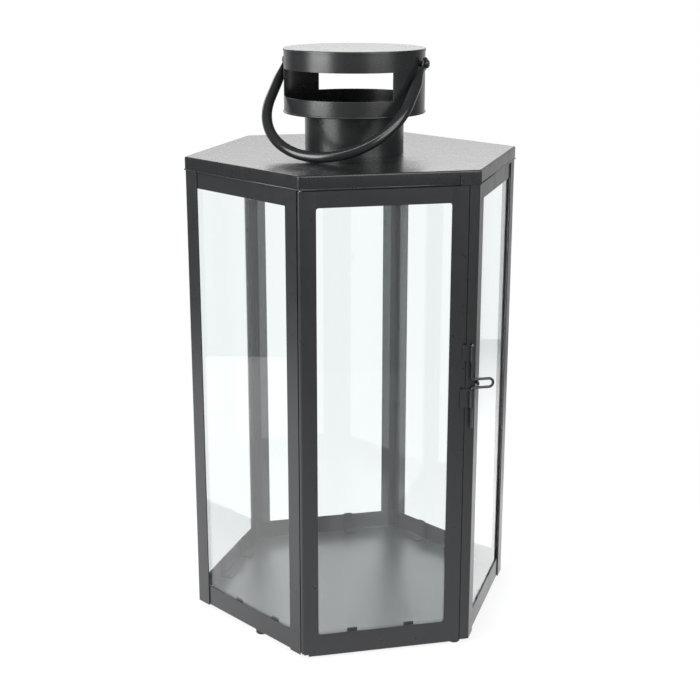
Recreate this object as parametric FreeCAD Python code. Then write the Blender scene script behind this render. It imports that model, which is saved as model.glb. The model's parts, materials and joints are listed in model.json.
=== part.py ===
"""Hexagonal metal lantern with a glazed door, a chimney cap and a bail handle.

Millimetres, +Z up. The origin is on the ground under the lantern's axis, and the door faces -Y.
Every side is drawn at the front, as (s, depth, z): s runs along the side from its left end to its
right end as seen from outside, depth runs inwards from the outer face, and z is the height above
the ground. It is then turned about the axis to its place.
"""
import FreeCAD
import Part
import math
import os
from FreeCAD import Vector

# ---------------------------------------------------------------- driving dimensions
ACROSS_CORNERS = 231.0          # hexagon, corner to corner, over the posts
BODY_HEIGHT = 323.3             # lower edge of the posts to the top of the roof
SHEET = 0.8                     # black steel sheet of the whole frame
GLASS = 2.0                     # float glass of the panes
CLEAR = 0.4                     # running clearance between parts that move past each other
OVERRUN = 1.0                   # how far a cutting tool passes through what it cuts
SAME_HEIGHT = 1e-6              # heights closer than this are the same

FOOT_HEIGHT = 3.0
FOOT_DIAMETER = 8.0
FOOT_ROUND = 0.6                # rounded lower edge
FOOT_EDGE = 5.2                 # side's outer face to a foot's centre
FOOT_OFFSETS = {"front": 49.0, "left": 7.7, "back": 49.0, "back_right": 7.7}

FLANGE = 12.0                   # post flange on a fixed side
HINGE_POST_FLANGE = 13.5        # the same on the left side of the hinge post
HINGE_POST_EDGE = 3.3           # that flange's front edge to the front left corner
LATCH_POST_FLANGE = 6.5         # front flange of the latch post, beside the door

RAIL_HEIGHT = 15.0              # lower rails
HEADER_HEIGHT = 20.3            # upper rails, below the top of the roof
RAIL_FOOT = 8.0                 # inward flange of a rail
SILL_HEIGHT = 13.0
SILL_DEPTH = 12.0               # depth at which the sill's and header's flanges end

ROOF_LIP = 9.2                  # height of the roof's folded edge
ROOF_FOLD = 1.2                 # outer radius of that fold
LAP_TAB = 13.5                  # length of the lap tab on the roof's front lip
LAP_TAB_THICK = 0.5
LAP_TAB_HEIGHT = 8.0

PANE_MARGIN = 6.0               # pane edge to hexagon corner, along the side
PANE_TOP_GAP = 8.0              # pane top to the underside of the roof
CLIP_WIDTH = 7.0
CLIP_SPACING = 39.2
CLIP_REACH = 1.8                # how far a lower clip shows above its rail
CLIP_SHEET = 0.7
LOWER_CLIP_FOOT = 8.0           # welded foot on the floor
UPPER_CLIP_FOOT = 4.0           # welded foot under the upper rail's shelf
UPPER_CLIP_HEIGHT = 16.0
CLIP_OFFSETS = {"left": 6.2, "back_left": -3.0, "back": 2.0, "back_right": 4.0, "right": -2.0}

# door
DOOR_GAP_LATCH = 6.9            # door edge to the right front corner
DOOR_LEFT_STILE = 10.6          # front left corner to the door's glass
DOOR_RIGHT_STILE = 11.0
DOOR_DROP = 0.8                 # how far the door hangs past the posts' lower edge
DOOR_TOP_GAP = 0.6              # door top to the roof's lip
DOOR_GLASS_LAP = 4.0            # glass behind the stiles
DOOR_GLASS_LAP_LOW = 9.0        # glass behind the lower rail
DOOR_GLASS_LAP_HIGH = 6.0       # glass behind the upper rail
DOOR_CLIP_OFFSET = -4.1
STOP_WIDTH = 5.5                # strip on the latch post that the closed door meets

HINGE_BARREL = 4.0              # outer diameter of the door's rolled edge
HINGE_PIN = 2.2
HINGE_PIN_FIT = 0.1             # radial play of the pin
PIN_IN_BARREL = 12.0
HINGE_NOTCH = 2.6               # pin axis to the end of the notch in the stile's lower corner

# latch
LATCH_WIRE = 1.8
LATCH_AXIS_FROM_CORNER = 2.7
LATCH_AXIS_OUT = 2.25           # wire axis in front of the door's face
LATCH_FIT = 0.1
LATCH_TOP = 211.5               # all heights here are above the posts' lower edge
LATCH_BOTTOM = 154.0
LOOP_MID = 184.5
LOOP_PITCH = 5.7                # between the centre lines of the loop's two legs
LOOP_REACH = 14.2               # wire axis to the centre line of the loop's tip
LOOP_BEND = 1.5                 # centre-line radius where a leg leaves the upright wire
UPPER_STRAP_HEIGHT = 10.4
UPPER_STRAP_BELOW_TOP = 1.5     # strap's upper edge to the top of the wire
LOWER_STRAP_HEIGHT = 12.2
LOWER_STRAP_BELOW_LOOP = 4.3    # strap's upper edge to the middle of the loop
STRAP_LEFT_UPPER = 9.2          # left end of the strap to the right front corner
STRAP_LEFT_LOWER = 10.4
SLOT_WIDTH = 2.2                # slot in the stile that each strap comes out of
SLOT_ABOVE = 1.6
KEEPER_WIDTH = 2.4
KEEPER_OUT = 4.2                # keeper's tip in front of the front face
KEEPER_FROM_CORNER = 0.9        # keeper to the right front corner, along the front

# chimney and cap
TUBE_DIAMETER = 67.0
TUBE_FLANGE = 3.5
TUBE_TOP = 26.7                 # roof to the underside of the cap
TUBE_FIT = 0.2
CAP_DIAMETER = 95.0
CAP_HEIGHT = 42.6
WINDOW_BOTTOM = 11.0            # above the cap's underside
WINDOW_HEIGHT = 18.0
PILLAR_ANGLE = 62.0             # degrees of wall left between the two windows
PILLAR_AZIMUTH = -40.0          # degrees from +X to the middle of one pillar
RIM_HEIGHT = 1.8
RIM_PROUD = 0.35
BEAD_RADIUS = 0.7               # rolled bead at the cap's lower edge

# bail handle
ROD_DIAMETER = 7.0
BAIL_AZIMUTH = -36.5            # degrees from +X to the handle's right pivot
BAIL_BULGE = -0.6               # the round part's centre line, out from the pivots
BAIL_ARC_DROP = 34.4            # pivot line to the centre of that arc
PIVOT_ABOVE_CAP_FLOOR = 33.2
EYE_DIAMETER = 9.0
EYE_THICK = 2.4
EYE_ROOT = 3.5                  # from the pivot to where the eye starts to thicken
EYE_NECK = 20.0                 # from the pivot to where the rod is fully round
EYE_TO_CAP = 1.7
RIVET_DIAMETER = 3.6
RIVET_FIT = 0.1
RIVET_HEAD = 5.6
RIVET_HEAD_THICK = 1.4
RIVET_HEAD_ROUND = 1.1
RIVET_HEAD_GAP = 0.2            # eye to the head
RIVET_COLLAR_THICK = 0.7        # collar inside the cap's wall

SIDE_TURN = 60                  # degrees from one side of the hexagon to the next

# ---------------------------------------------------------------- worked out from them
CORNER = ACROSS_CORNERS / 2
HALF_SIDE = CORNER / 2
APOTHEM = CORNER * math.sqrt(3) / 2
LEAN = math.radians(SIDE_TURN / 2)      # from a side's normal to the radial plane of its corner
CORNER_SLOPE = math.tan(LEAN)
FOLD_REACH = SHEET / math.cos(LEAN)     # outer to inner corner of a bent sheet, on that plane
BASE = FOOT_HEIGHT
ROOF_TOP = BASE + BODY_HEIGHT
ROOF_UNDER = ROOF_TOP - SHEET
LIP_BOTTOM = ROOF_TOP - ROOF_LIP
HEADER_BOTTOM = ROOF_TOP - HEADER_HEIGHT
FLOOR_TOP = BASE + 2 * SHEET
RAIL_TOP = BASE + RAIL_HEIGHT
WEB_DEPTH = SHEET                       # a rail's web lies behind the posts' flanges
PANE_DEPTH = WEB_DEPTH + SHEET
CLIP_DEPTH = PANE_DEPTH + GLASS
PANE_TOP = ROOF_UNDER - PANE_TOP_GAP

BARREL_RADIUS = HINGE_BARREL / 2
HINGE_DEPTH = BARREL_RADIUS             # the barrel touches the planes of both sides
HINGE_S = -HALF_SIDE + BARREL_RADIUS * CORNER_SLOPE
JAMB_DEPTH = HINGE_DEPTH + BARREL_RADIUS + CLEAR
DOOR_LEFT = HINGE_S
DOOR_RIGHT = HALF_SIDE - DOOR_GAP_LATCH
OPENING_LEFT = -HALF_SIDE + DOOR_LEFT_STILE
OPENING_RIGHT = DOOR_RIGHT - DOOR_RIGHT_STILE
JAMB_EDGE = OPENING_LEFT - SHEET
DOOR_BOTTOM = BASE - DOOR_DROP
DOOR_TOP = LIP_BOTTOM - DOOR_TOP_GAP
DOOR_GLASS_BOTTOM = RAIL_TOP - DOOR_GLASS_LAP_LOW
DOOR_GLASS_TOP = HEADER_BOTTOM + DOOR_GLASS_LAP_HIGH
DOOR_CLIP_DEPTH = SHEET + GLASS
STOP_DEPTH = SHEET + CLEAR

LATCH_S = HALF_SIDE - LATCH_AXIS_FROM_CORNER
UPPER_STRAP_TOP = LATCH_TOP - UPPER_STRAP_BELOW_TOP
UPPER_STRAP = (UPPER_STRAP_TOP - UPPER_STRAP_HEIGHT, UPPER_STRAP_TOP)
LOWER_STRAP_TOP = LOOP_MID - LOWER_STRAP_BELOW_LOOP
LOWER_STRAP = (LOWER_STRAP_TOP - LOWER_STRAP_HEIGHT, LOWER_STRAP_TOP)

CAP_BOTTOM = ROOF_TOP + TUBE_TOP
CAP_TOP = CAP_BOTTOM + CAP_HEIGHT
CAP_RADIUS = CAP_DIAMETER / 2
TUBE_RADIUS = TUBE_DIAMETER / 2
WINDOW_Z = CAP_BOTTOM + WINDOW_BOTTOM
PIVOT_Z = CAP_BOTTOM + PIVOT_ABOVE_CAP_FLOOR
ROD_RADIUS = ROD_DIAMETER / 2
PIVOT_U = CAP_RADIUS + EYE_TO_CAP + EYE_THICK / 2
BAIL_ARC_RADIUS = PIVOT_U + BAIL_BULGE
BAIL_LENGTH = BAIL_ARC_DROP + BAIL_ARC_RADIUS
# the bail hangs until its rod lies on the roof
BAIL_TILT = math.degrees(math.acos((PIVOT_Z - ROOF_TOP - ROD_RADIUS - CLEAR) / BAIL_LENGTH))

# degrees from +X to the middle of each side and to each post, anticlockwise from the front
SIDES = {side: -90 + SIDE_TURN * turn for turn, side in
         enumerate(("front", "right", "back_right", "back", "back_left", "left"))}
FIXED_SIDES = [side for side in SIDES if side != "front"]
POSTS = {post: SIDES["front"] + SIDE_TURN * (turn + 0.5) for turn, post in
         enumerate(("front_right", "right", "back_right", "back_left", "left", "front_left"))}
UP = Vector(0, 0, 1)


# ---------------------------------------------------------------- helpers
def turned(shape, degrees):
    """The shape turned about the lantern's axis."""
    copy = shape.copy()
    copy.rotate(Vector(0, 0, 0), UP, degrees)
    return copy


def on_side(shape, side):
    """A shape drawn at the front, moved to its own side."""
    return turned(shape, SIDES[side] + 90)


def box(s, depth, z):
    """A block at the front side between the pairs of values s, depth and z."""
    corner = Vector(s[0], -APOTHEM + depth[0], z[0])
    return Part.makeBox(s[1] - s[0], depth[1] - depth[0], z[1] - z[0], corner)


def prism(points, z):
    """A closed plan outline of (x, y) points, raised between the two heights z."""
    corners = [Vector(x, y, z[0]) for x, y in points]
    face = Part.Face(Part.makePolygon(corners + corners[:1]))
    return face.extrude(Vector(0, 0, z[1] - z[0]))


def plan(points):
    """(s, depth) points of the front side as (x, y)."""
    return [(s, -APOTHEM + depth) for s, depth in points]


def rod(radius, z, s=0.0, depth=None):
    """An upright round bar at (s, depth) of the front side, or on the axis."""
    y = 0.0 if depth is None else -APOTHEM + depth
    return Part.makeCylinder(radius, z[1] - z[0], Vector(s, y, z[0]))


def ring(outer, inner, z):
    """A flat ring or short tube on the axis."""
    return rod(outer, z).cut(rod(inner, (z[0] - OVERRUN, z[1] + OVERRUN)))


def hexagon(apothem, z):
    """A hexagonal prism on the axis."""
    radius = apothem * 2 / math.sqrt(3)
    angles = [math.radians(SIDE_TURN * i) for i in range(len(SIDES))]
    return prism([(radius * math.cos(a), radius * math.sin(a)) for a in angles], z)


def mitred(shape):
    """What of a front-side shape lies between the two radial planes through the corners."""
    reach = 2 * CORNER
    tip = (reach * math.sin(LEAN), -reach * math.cos(LEAN))
    sector = prism([(0, 0), (-tip[0], tip[1]), tip], (-OVERRUN, CAP_TOP))
    return shape.common(sector)


def single(shape):
    """The shape as one clean solid."""
    shape = shape.removeSplitter()
    return shape.Solids[0] if len(shape.Solids) == 1 else shape


def save(name, *shapes):
    """Write one node: one solid, or several separate ones of the same kind."""
    shape = shapes[0] if len(shapes) == 1 else Part.makeCompound(list(shapes))
    shape.exportStep("parts/%s.step" % name)
    volume = sum(solid.Volume for solid in shape.Solids)
    print("%-24s solids %2d  volume %9.1f  valid %s"
          % (name, len(shape.Solids), volume, shape.isValid()))


# ---------------------------------------------------------------- base
def base_floor():
    """Hexagonal sheet that lies on the rails' feet and carries the panes and a candle."""
    sheet = hexagon(APOTHEM - PANE_DEPTH, (BASE + SHEET, FLOOR_TOP))
    front = box((-CORNER, CORNER), (-OVERRUN, JAMB_DEPTH + SHEET), (BASE, RAIL_TOP))
    return single(sheet.cut(front))


def feet():
    """Four round pads under the rails."""
    pads = []
    for side, offset in FOOT_OFFSETS.items():
        pad = rod(FOOT_DIAMETER / 2, (0, BASE), offset, FOOT_EDGE)
        pad = pad.makeFillet(FOOT_ROUND, [pad.Edges[-1]])
        pads.append(on_side(pad, side))
    return pads


def rail_end(rail, side):
    """The rail, its web cut short behind the hinge post's jamb where the hinge barrel turns."""
    if side != "left":
        return rail
    room = box((-CORNER, CORNER), (-OVERRUN, JAMB_DEPTH + SHEET),
               (BASE + SHEET, ROOF_UNDER - SHEET))
    return single(rail.cut(room))


def lower_rail(side):
    """Folded strip: an upright web behind the posts and a foot under the floor."""
    long = (-CORNER, CORNER)
    web = box(long, (WEB_DEPTH, PANE_DEPTH), (BASE, RAIL_TOP))
    foot = box(long, (PANE_DEPTH, PANE_DEPTH + RAIL_FOOT), (BASE, BASE + SHEET))
    return rail_end(on_side(single(mitred(web.fuse(foot))), side), side)


def door_sill():
    """The front rail, set back behind the door. Its foot carries the lower hinge pin."""
    long = (-CORNER, CORNER)
    web = box((JAMB_EDGE, CORNER), (JAMB_DEPTH, JAMB_DEPTH + SHEET), (BASE, BASE + SILL_HEIGHT))
    foot = box(long, (STOP_DEPTH, SILL_DEPTH), (BASE, BASE + SHEET))
    return single(mitred(web.fuse(foot)))


# ---------------------------------------------------------------- posts and upper rails
def corner_profile(left_flange, right_flange):
    """Plan of a bent angle at the corner on the -Y axis, its flanges 120 degrees apart."""
    def along(distance, inset, sign):
        """A point on a flange, measured from the corner and inwards from its face."""
        x = distance * math.cos(LEAN) - inset * math.sin(LEAN)
        y = -CORNER + distance * math.sin(LEAN) + inset * math.cos(LEAN)
        return (sign * x, y)

    fold = (0, -CORNER + FOLD_REACH)
    return [(0, -CORNER), along(right_flange, 0, 1), along(right_flange, SHEET, 1), fold,
            along(left_flange, SHEET, -1), along(left_flange, 0, -1)]


def post(name):
    """Angle post of a corner between two fixed sides."""
    angle = prism(corner_profile(FLANGE, FLANGE), (BASE, ROOF_UNDER))
    return turned(single(angle), POSTS[name] + 90)


def post_front_right():
    """Latch post: a narrow flange beside the door and a stepped strip that stops the door."""
    angle = prism(corner_profile(LATCH_POST_FLANGE, FLANGE), (BASE, ROOF_UNDER))
    angle = turned(angle, POSTS["front_right"] + 90)
    edge = HALF_SIDE - LATCH_POST_FLANGE
    inner = (BASE + SHEET, ROOF_UNDER - SHEET)
    step = box((edge, edge + SHEET), (0, STOP_DEPTH + SHEET), inner)
    stop = box((edge - STOP_WIDTH, edge + SHEET), (STOP_DEPTH, STOP_DEPTH + SHEET), inner)
    whole = angle.fuse([step, stop])
    return single(whole)


def post_front_left():
    """Hinge post: a flange on the left side and a jamb that passes behind the hinge barrel."""
    flange = box((HALF_SIDE - HINGE_POST_FLANGE, HALF_SIDE - HINGE_POST_EDGE), (0, SHEET),
                 (BASE, ROOF_UNDER))
    flange = on_side(flange, "left")

    def flange_inside(depth):
        """s of the left flange's inner face at this depth of the front side."""
        return -HALF_SIDE - depth * CORNER_SLOPE + FOLD_REACH

    back = JAMB_DEPTH + SHEET
    outline = plan([(flange_inside(JAMB_DEPTH), JAMB_DEPTH), (JAMB_EDGE, JAMB_DEPTH),
                    (JAMB_EDGE, back), (flange_inside(back), back)])
    jamb = prism(outline, (BASE + SHEET, ROOF_UNDER - SHEET))
    return single(flange.fuse(jamb))


def upper_rail(side):
    """Folded strip: a web behind the posts and a shelf welded under the roof."""
    long = (-CORNER, CORNER)
    web = box(long, (WEB_DEPTH, PANE_DEPTH), (HEADER_BOTTOM, ROOF_UNDER))
    shelf = box(long, (PANE_DEPTH, PANE_DEPTH + RAIL_FOOT), (ROOF_UNDER - SHEET, ROOF_UNDER))
    return rail_end(on_side(single(mitred(web.fuse(shelf))), side), side)


def door_header():
    """The front upper rail, set back behind the door. Its shelf holds the upper hinge pin."""
    long = (-CORNER, CORNER)
    web = box((JAMB_EDGE, CORNER), (JAMB_DEPTH, JAMB_DEPTH + SHEET),
              (HEADER_BOTTOM + SHEET, ROOF_UNDER))
    shelf = box(long, (STOP_DEPTH, SILL_DEPTH), (ROOF_UNDER - SHEET, ROOF_UNDER))
    return single(mitred(web.fuse(shelf)))


# ---------------------------------------------------------------- fixed glass
def pane(side):
    """Fixed pane, standing on the floor behind the rails."""
    half = HALF_SIDE - PANE_MARGIN
    return on_side(box((-half, half), (PANE_DEPTH, CLIP_DEPTH), (FLOOR_TOP, PANE_TOP)), side)


def clip_pair(offset, make):
    """Two equal clips on one side, about the given offset."""
    return [make(offset + sign * CLIP_SPACING / 2) for sign in (-1, 1)]


def clip_leaf(middle, depth, z, upper_end):
    """The upright tongue of a clip, with its free end's corners cut off."""
    leaf = box((middle - CLIP_WIDTH / 2, middle + CLIP_WIDTH / 2), (depth, depth + CLIP_SHEET), z)
    end = z[1] if upper_end else z[0]
    tips = [edge for edge in leaf.Edges
            if all(abs(v.Z - end) < SAME_HEIGHT for v in edge.Vertexes)
            and abs(edge.Vertexes[0].X - edge.Vertexes[1].X) < SAME_HEIGHT]
    return leaf.makeChamfer(CLIP_SHEET, tips)


def lower_clip(middle):
    """Clip on the floor that keeps a fixed pane against its rail."""
    width = (middle - CLIP_WIDTH / 2, middle + CLIP_WIDTH / 2)
    foot = box(width, (CLIP_DEPTH, CLIP_DEPTH + LOWER_CLIP_FOOT),
               (FLOOR_TOP, FLOOR_TOP + CLIP_SHEET))
    leaf = clip_leaf(middle, CLIP_DEPTH, (FLOOR_TOP, RAIL_TOP + CLIP_REACH), True)
    return single(leaf.fuse(foot))


def upper_clip(middle):
    """Clip under the upper rail's shelf that keeps a fixed pane against the rail."""
    top = ROOF_UNDER - SHEET
    width = (middle - CLIP_WIDTH / 2, middle + CLIP_WIDTH / 2)
    foot = box(width, (CLIP_DEPTH, CLIP_DEPTH + UPPER_CLIP_FOOT), (top - CLIP_SHEET, top))
    leaf = clip_leaf(middle, CLIP_DEPTH, (top - UPPER_CLIP_HEIGHT, top), False)
    return single(leaf.fuse(foot))


def all_clips(make):
    """The clips of the five fixed panes."""
    return [on_side(clip, side) for side, offset in CLIP_OFFSETS.items()
            for clip in clip_pair(offset, make)]


# ---------------------------------------------------------------- door
def door_stile_hinge():
    """Left stile, its outer edge rolled into a barrel round the hinge pins."""
    barrel_z = (BASE + SHEET + CLEAR, DOOR_TOP)
    web = box((HINGE_S, OPENING_LEFT), (0, SHEET), (DOOR_BOTTOM, DOOR_TOP))
    web = web.cut(box((HINGE_S - OVERRUN, HINGE_S + HINGE_NOTCH), (-OVERRUN, SHEET + OVERRUN),
                      (0, barrel_z[0])))
    outer = rod(BARREL_RADIUS, barrel_z, HINGE_S, HINGE_DEPTH)
    bore = rod(HINGE_PIN / 2 + HINGE_PIN_FIT, (0, ROOF_TOP), HINGE_S, HINGE_DEPTH)
    return single(web.fuse(outer).cut(bore))


def door_stile_latch():
    """Right stile, with the two slots that the latch straps come out of."""
    stile = box((OPENING_RIGHT, DOOR_RIGHT), (0, SHEET), (DOOR_BOTTOM, DOOR_TOP))
    for left, (low, high) in ((STRAP_LEFT_UPPER, UPPER_STRAP), (STRAP_LEFT_LOWER, LOWER_STRAP)):
        edge = HALF_SIDE - left
        slot = box((edge, edge + SLOT_WIDTH), (-OVERRUN, SHEET + OVERRUN),
                   (BASE + high, BASE + high + SLOT_ABOVE))
        stile = stile.cut(slot)
    return single(stile)


def door_rail(z):
    """Upper or lower rail between the stiles."""
    return box((OPENING_LEFT, OPENING_RIGHT), (0, SHEET), z)


def door_glass():
    """The door's pane, behind the frame."""
    return box((OPENING_LEFT - DOOR_GLASS_LAP, OPENING_RIGHT + DOOR_GLASS_LAP),
               (SHEET, DOOR_CLIP_DEPTH), (DOOR_GLASS_BOTTOM, DOOR_GLASS_TOP))


def door_clip(middle, lower):
    """Folded clip welded to a door rail, under or over the pane's edge and up behind it."""
    edge = DOOR_GLASS_BOTTOM if lower else DOOR_GLASS_TOP
    away = -CLIP_SHEET if lower else CLIP_SHEET
    shelf_z = sorted((edge, edge + away))
    free = RAIL_TOP + CLIP_REACH if lower else HEADER_BOTTOM + CLIP_SHEET
    leaf_z = sorted((free, edge + away))
    width = (middle - CLIP_WIDTH / 2, middle + CLIP_WIDTH / 2)
    shelf = box(width, (SHEET, DOOR_CLIP_DEPTH + CLIP_SHEET), shelf_z)
    leaf = clip_leaf(middle, DOOR_CLIP_DEPTH, leaf_z, lower)
    return single(leaf.fuse(shelf))


def door_clips():
    """Two clips on each rail of the door."""
    return [clip for lower in (True, False)
            for clip in clip_pair(DOOR_CLIP_OFFSET, lambda s: door_clip(s, lower))]


def hinge_pins():
    """Short pins on the sill and under the header, in the ends of the barrel."""
    lower = (BASE + SHEET, BASE + SHEET + CLEAR + PIN_IN_BARREL)
    upper = (DOOR_TOP - PIN_IN_BARREL, ROOF_UNDER - SHEET)
    return [rod(HINGE_PIN / 2, z, HINGE_S, HINGE_DEPTH) for z in (lower, upper)]


# ---------------------------------------------------------------- latch
def latch_strap(left, height):
    """Strap on the latch stile, curled round the upright wire in front of the post."""
    z = (BASE + height[0], BASE + height[1])
    bore = LATCH_WIRE / 2 + LATCH_FIT
    outer = bore + SHEET
    low = LATCH_AXIS_OUT - outer
    edge = HALF_SIDE - left
    flat = box((edge, DOOR_RIGHT), (-SHEET, 0), z)
    bridge = box((DOOR_RIGHT - SHEET, LATCH_S), (-low - SHEET, -low), z)
    curl = rod(outer, z, LATCH_S, -LATCH_AXIS_OUT)
    hole = rod(bore, (0, ROOF_TOP), LATCH_S, -LATCH_AXIS_OUT)
    return single(flat.fuse([bridge, curl]).cut(hole))


def latch_wire():
    """Upright wire with a U-shaped finger loop, bent from one piece."""
    y = -APOTHEM - LATCH_AXIS_OUT
    half = LOOP_PITCH / 2
    top, bottom, mid = BASE + LATCH_TOP, BASE + LATCH_BOTTOM, BASE + LOOP_MID
    bend_s = LATCH_S + LOOP_BEND
    cut = LOOP_BEND * (1 - math.sin(math.radians(45)))
    tip_s = LATCH_S + LOOP_REACH

    def at(s, z):
        return Vector(s, y, z)

    def bend(start, sign):
        """Quarter bend between the upright wire and a leg, from the wire to the leg."""
        leg = mid + sign * half
        wire_end, leg_end = at(LATCH_S, leg + sign * LOOP_BEND), at(bend_s, leg)
        through = at(LATCH_S + cut, leg + sign * cut)
        ends = (wire_end, leg_end) if start else (leg_end, wire_end)
        return Part.Arc(ends[0], through, ends[1]).toShape()

    upper, lower = mid + half, mid - half
    path = Part.Wire([
        Part.makeLine(at(LATCH_S, top), at(LATCH_S, upper + LOOP_BEND)),
        bend(True, 1),
        Part.makeLine(at(bend_s, upper), at(tip_s - half, upper)),
        Part.Arc(at(tip_s - half, upper), at(tip_s, mid), at(tip_s - half, lower)).toShape(),
        Part.makeLine(at(tip_s - half, lower), at(bend_s, lower)),
        bend(False, -1),
        Part.makeLine(at(LATCH_S, lower - LOOP_BEND), at(LATCH_S, bottom)),
    ])
    section = Part.Wire(Part.makeCircle(LATCH_WIRE / 2, at(LATCH_S, top), UP))
    return path.makePipeShell([section], True, False)


def latch_keeper():
    """Tongue on the latch post's right flange, standing out through the finger loop."""
    z = (BASE + LOOP_MID - KEEPER_WIDTH / 2, BASE + LOOP_MID + KEEPER_WIDTH / 2)
    left = HALF_SIDE + KEEPER_FROM_CORNER
    right = left + SHEET
    outline = plan([(left, -KEEPER_OUT), (right, -KEEPER_OUT),
                    (right, (right - HALF_SIDE) / CORNER_SLOPE),
                    (left, (left - HALF_SIDE) / CORNER_SLOPE)])
    return prism(outline, z)


# ---------------------------------------------------------------- roof
def roof():
    """Flat hexagonal roof with a folded lip outside the posts and a hole for the chimney."""
    outer = hexagon(APOTHEM + SHEET, (LIP_BOTTOM, ROOF_TOP))
    top_edges = [edge for edge in outer.Edges
                 if all(abs(v.Z - ROOF_TOP) < SAME_HEIGHT for v in edge.Vertexes)]
    outer = outer.makeFillet(ROOF_FOLD, top_edges)
    inside = hexagon(APOTHEM, (LIP_BOTTOM - OVERRUN, ROOF_UNDER))
    hole = rod(TUBE_RADIUS + TUBE_FIT, (LIP_BOTTOM, ROOF_TOP + OVERRUN))
    return single(outer.cut(inside).cut(hole))


def roof_lap_tab():
    """Tab of the right lip, lapped over the front lip at the right front corner."""
    lip = -SHEET
    right = HALF_SIDE + SHEET * CORNER_SLOPE
    low = LIP_BOTTOM + (ROOF_LIP - ROOF_FOLD - LAP_TAB_HEIGHT) / 2
    return box((right - LAP_TAB, right), (lip - LAP_TAB_THICK, lip), (low, low + LAP_TAB_HEIGHT))


# ---------------------------------------------------------------- chimney and cap
def chimney_tube():
    """Rolled tube from under the roof to the underside of the cap."""
    return ring(TUBE_RADIUS, TUBE_RADIUS - SHEET, (ROOF_UNDER - SHEET, CAP_BOTTOM))


def tube_flange(top):
    """Flat ring welded round one end of the tube, its upper face at this height."""
    return ring(TUBE_RADIUS + TUBE_FLANGE, TUBE_RADIUS, (top - SHEET, top))


def cap_floor():
    """Ring between the tube and the cap's wall."""
    return ring(CAP_RADIUS - SHEET, TUBE_RADIUS - SHEET, (CAP_BOTTOM, CAP_BOTTOM + SHEET))


def cap_wall():
    """Wall of the cap with its two windows, rivet holes and rolled lower bead."""
    wall = ring(CAP_RADIUS, CAP_RADIUS - SHEET, (CAP_BOTTOM, CAP_TOP - SHEET))
    bead = Part.makeTorus(CAP_RADIUS, BEAD_RADIUS, Vector(0, 0, CAP_BOTTOM + BEAD_RADIUS))
    core = rod(CAP_RADIUS - SHEET / 2, (CAP_BOTTOM - OVERRUN, CAP_TOP))
    wall = wall.fuse(bead.cut(core))
    window_angle = 180 - PILLAR_ANGLE
    start = PILLAR_AZIMUTH + PILLAR_ANGLE / 2
    for first in (start, start + 180):
        wedge = Part.makeCylinder(CAP_RADIUS + OVERRUN, WINDOW_HEIGHT, Vector(0, 0, WINDOW_Z),
                                  UP, window_angle)
        wall = wall.cut(turned(wedge, first))
    return single(wall.cut(pivot_bar(RIVET_DIAMETER / 2, -CAP_DIAMETER, CAP_DIAMETER)))


def cap_top():
    """Lid of the cap, its rim turned down outside the wall."""
    lid = rod(CAP_RADIUS + RIM_PROUD, (CAP_TOP - RIM_HEIGHT, CAP_TOP))
    lid = lid.makeFillet(RIM_PROUD, [edge for edge in lid.Edges
                                     if abs(edge.CenterOfMass.z - CAP_TOP) < SAME_HEIGHT])
    inside = rod(CAP_RADIUS, (CAP_TOP - RIM_HEIGHT - OVERRUN, CAP_TOP - SHEET))
    return single(lid.cut(inside))


# ---------------------------------------------------------------- bail handle
def pivot_bar(radius, start, end):
    """A round bar along the handle's pivot line, between two distances from the axis."""
    azimuth = math.radians(BAIL_AZIMUTH)
    along = Vector(math.cos(azimuth), math.sin(azimuth), 0)
    return Part.makeCylinder(radius, end - start, Vector(0, 0, PIVOT_Z) + along * start, along)


def seated(shape):
    """A shape drawn with the pivot line on X and the bail hanging down, put in its place."""
    copy = shape.copy()
    copy.rotate(Vector(0, 0, 0), Vector(1, 0, 0), -BAIL_TILT)
    copy.rotate(Vector(0, 0, 0), UP, BAIL_AZIMUTH)
    copy.translate(Vector(0, 0, PIVOT_Z))
    return copy


def bail_points():
    """Where an arm meets its neck and where it runs into the arc, in the bail's plane."""
    to_centre = math.hypot(PIVOT_U, BAIL_ARC_DROP)
    tangent = math.sqrt(to_centre ** 2 - BAIL_ARC_RADIUS ** 2)
    turn = math.atan2(-BAIL_ARC_DROP, -PIVOT_U) + math.atan2(BAIL_ARC_RADIUS, tangent)
    direction = Vector(math.cos(turn), 0, math.sin(turn))
    pivot = Vector(PIVOT_U, 0, 0)
    return direction, pivot + direction * EYE_NECK, pivot + direction * tangent


def mirror_x(point):
    """The point on the bail's other side."""
    return Vector(-point.x, point.y, point.z)


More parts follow.
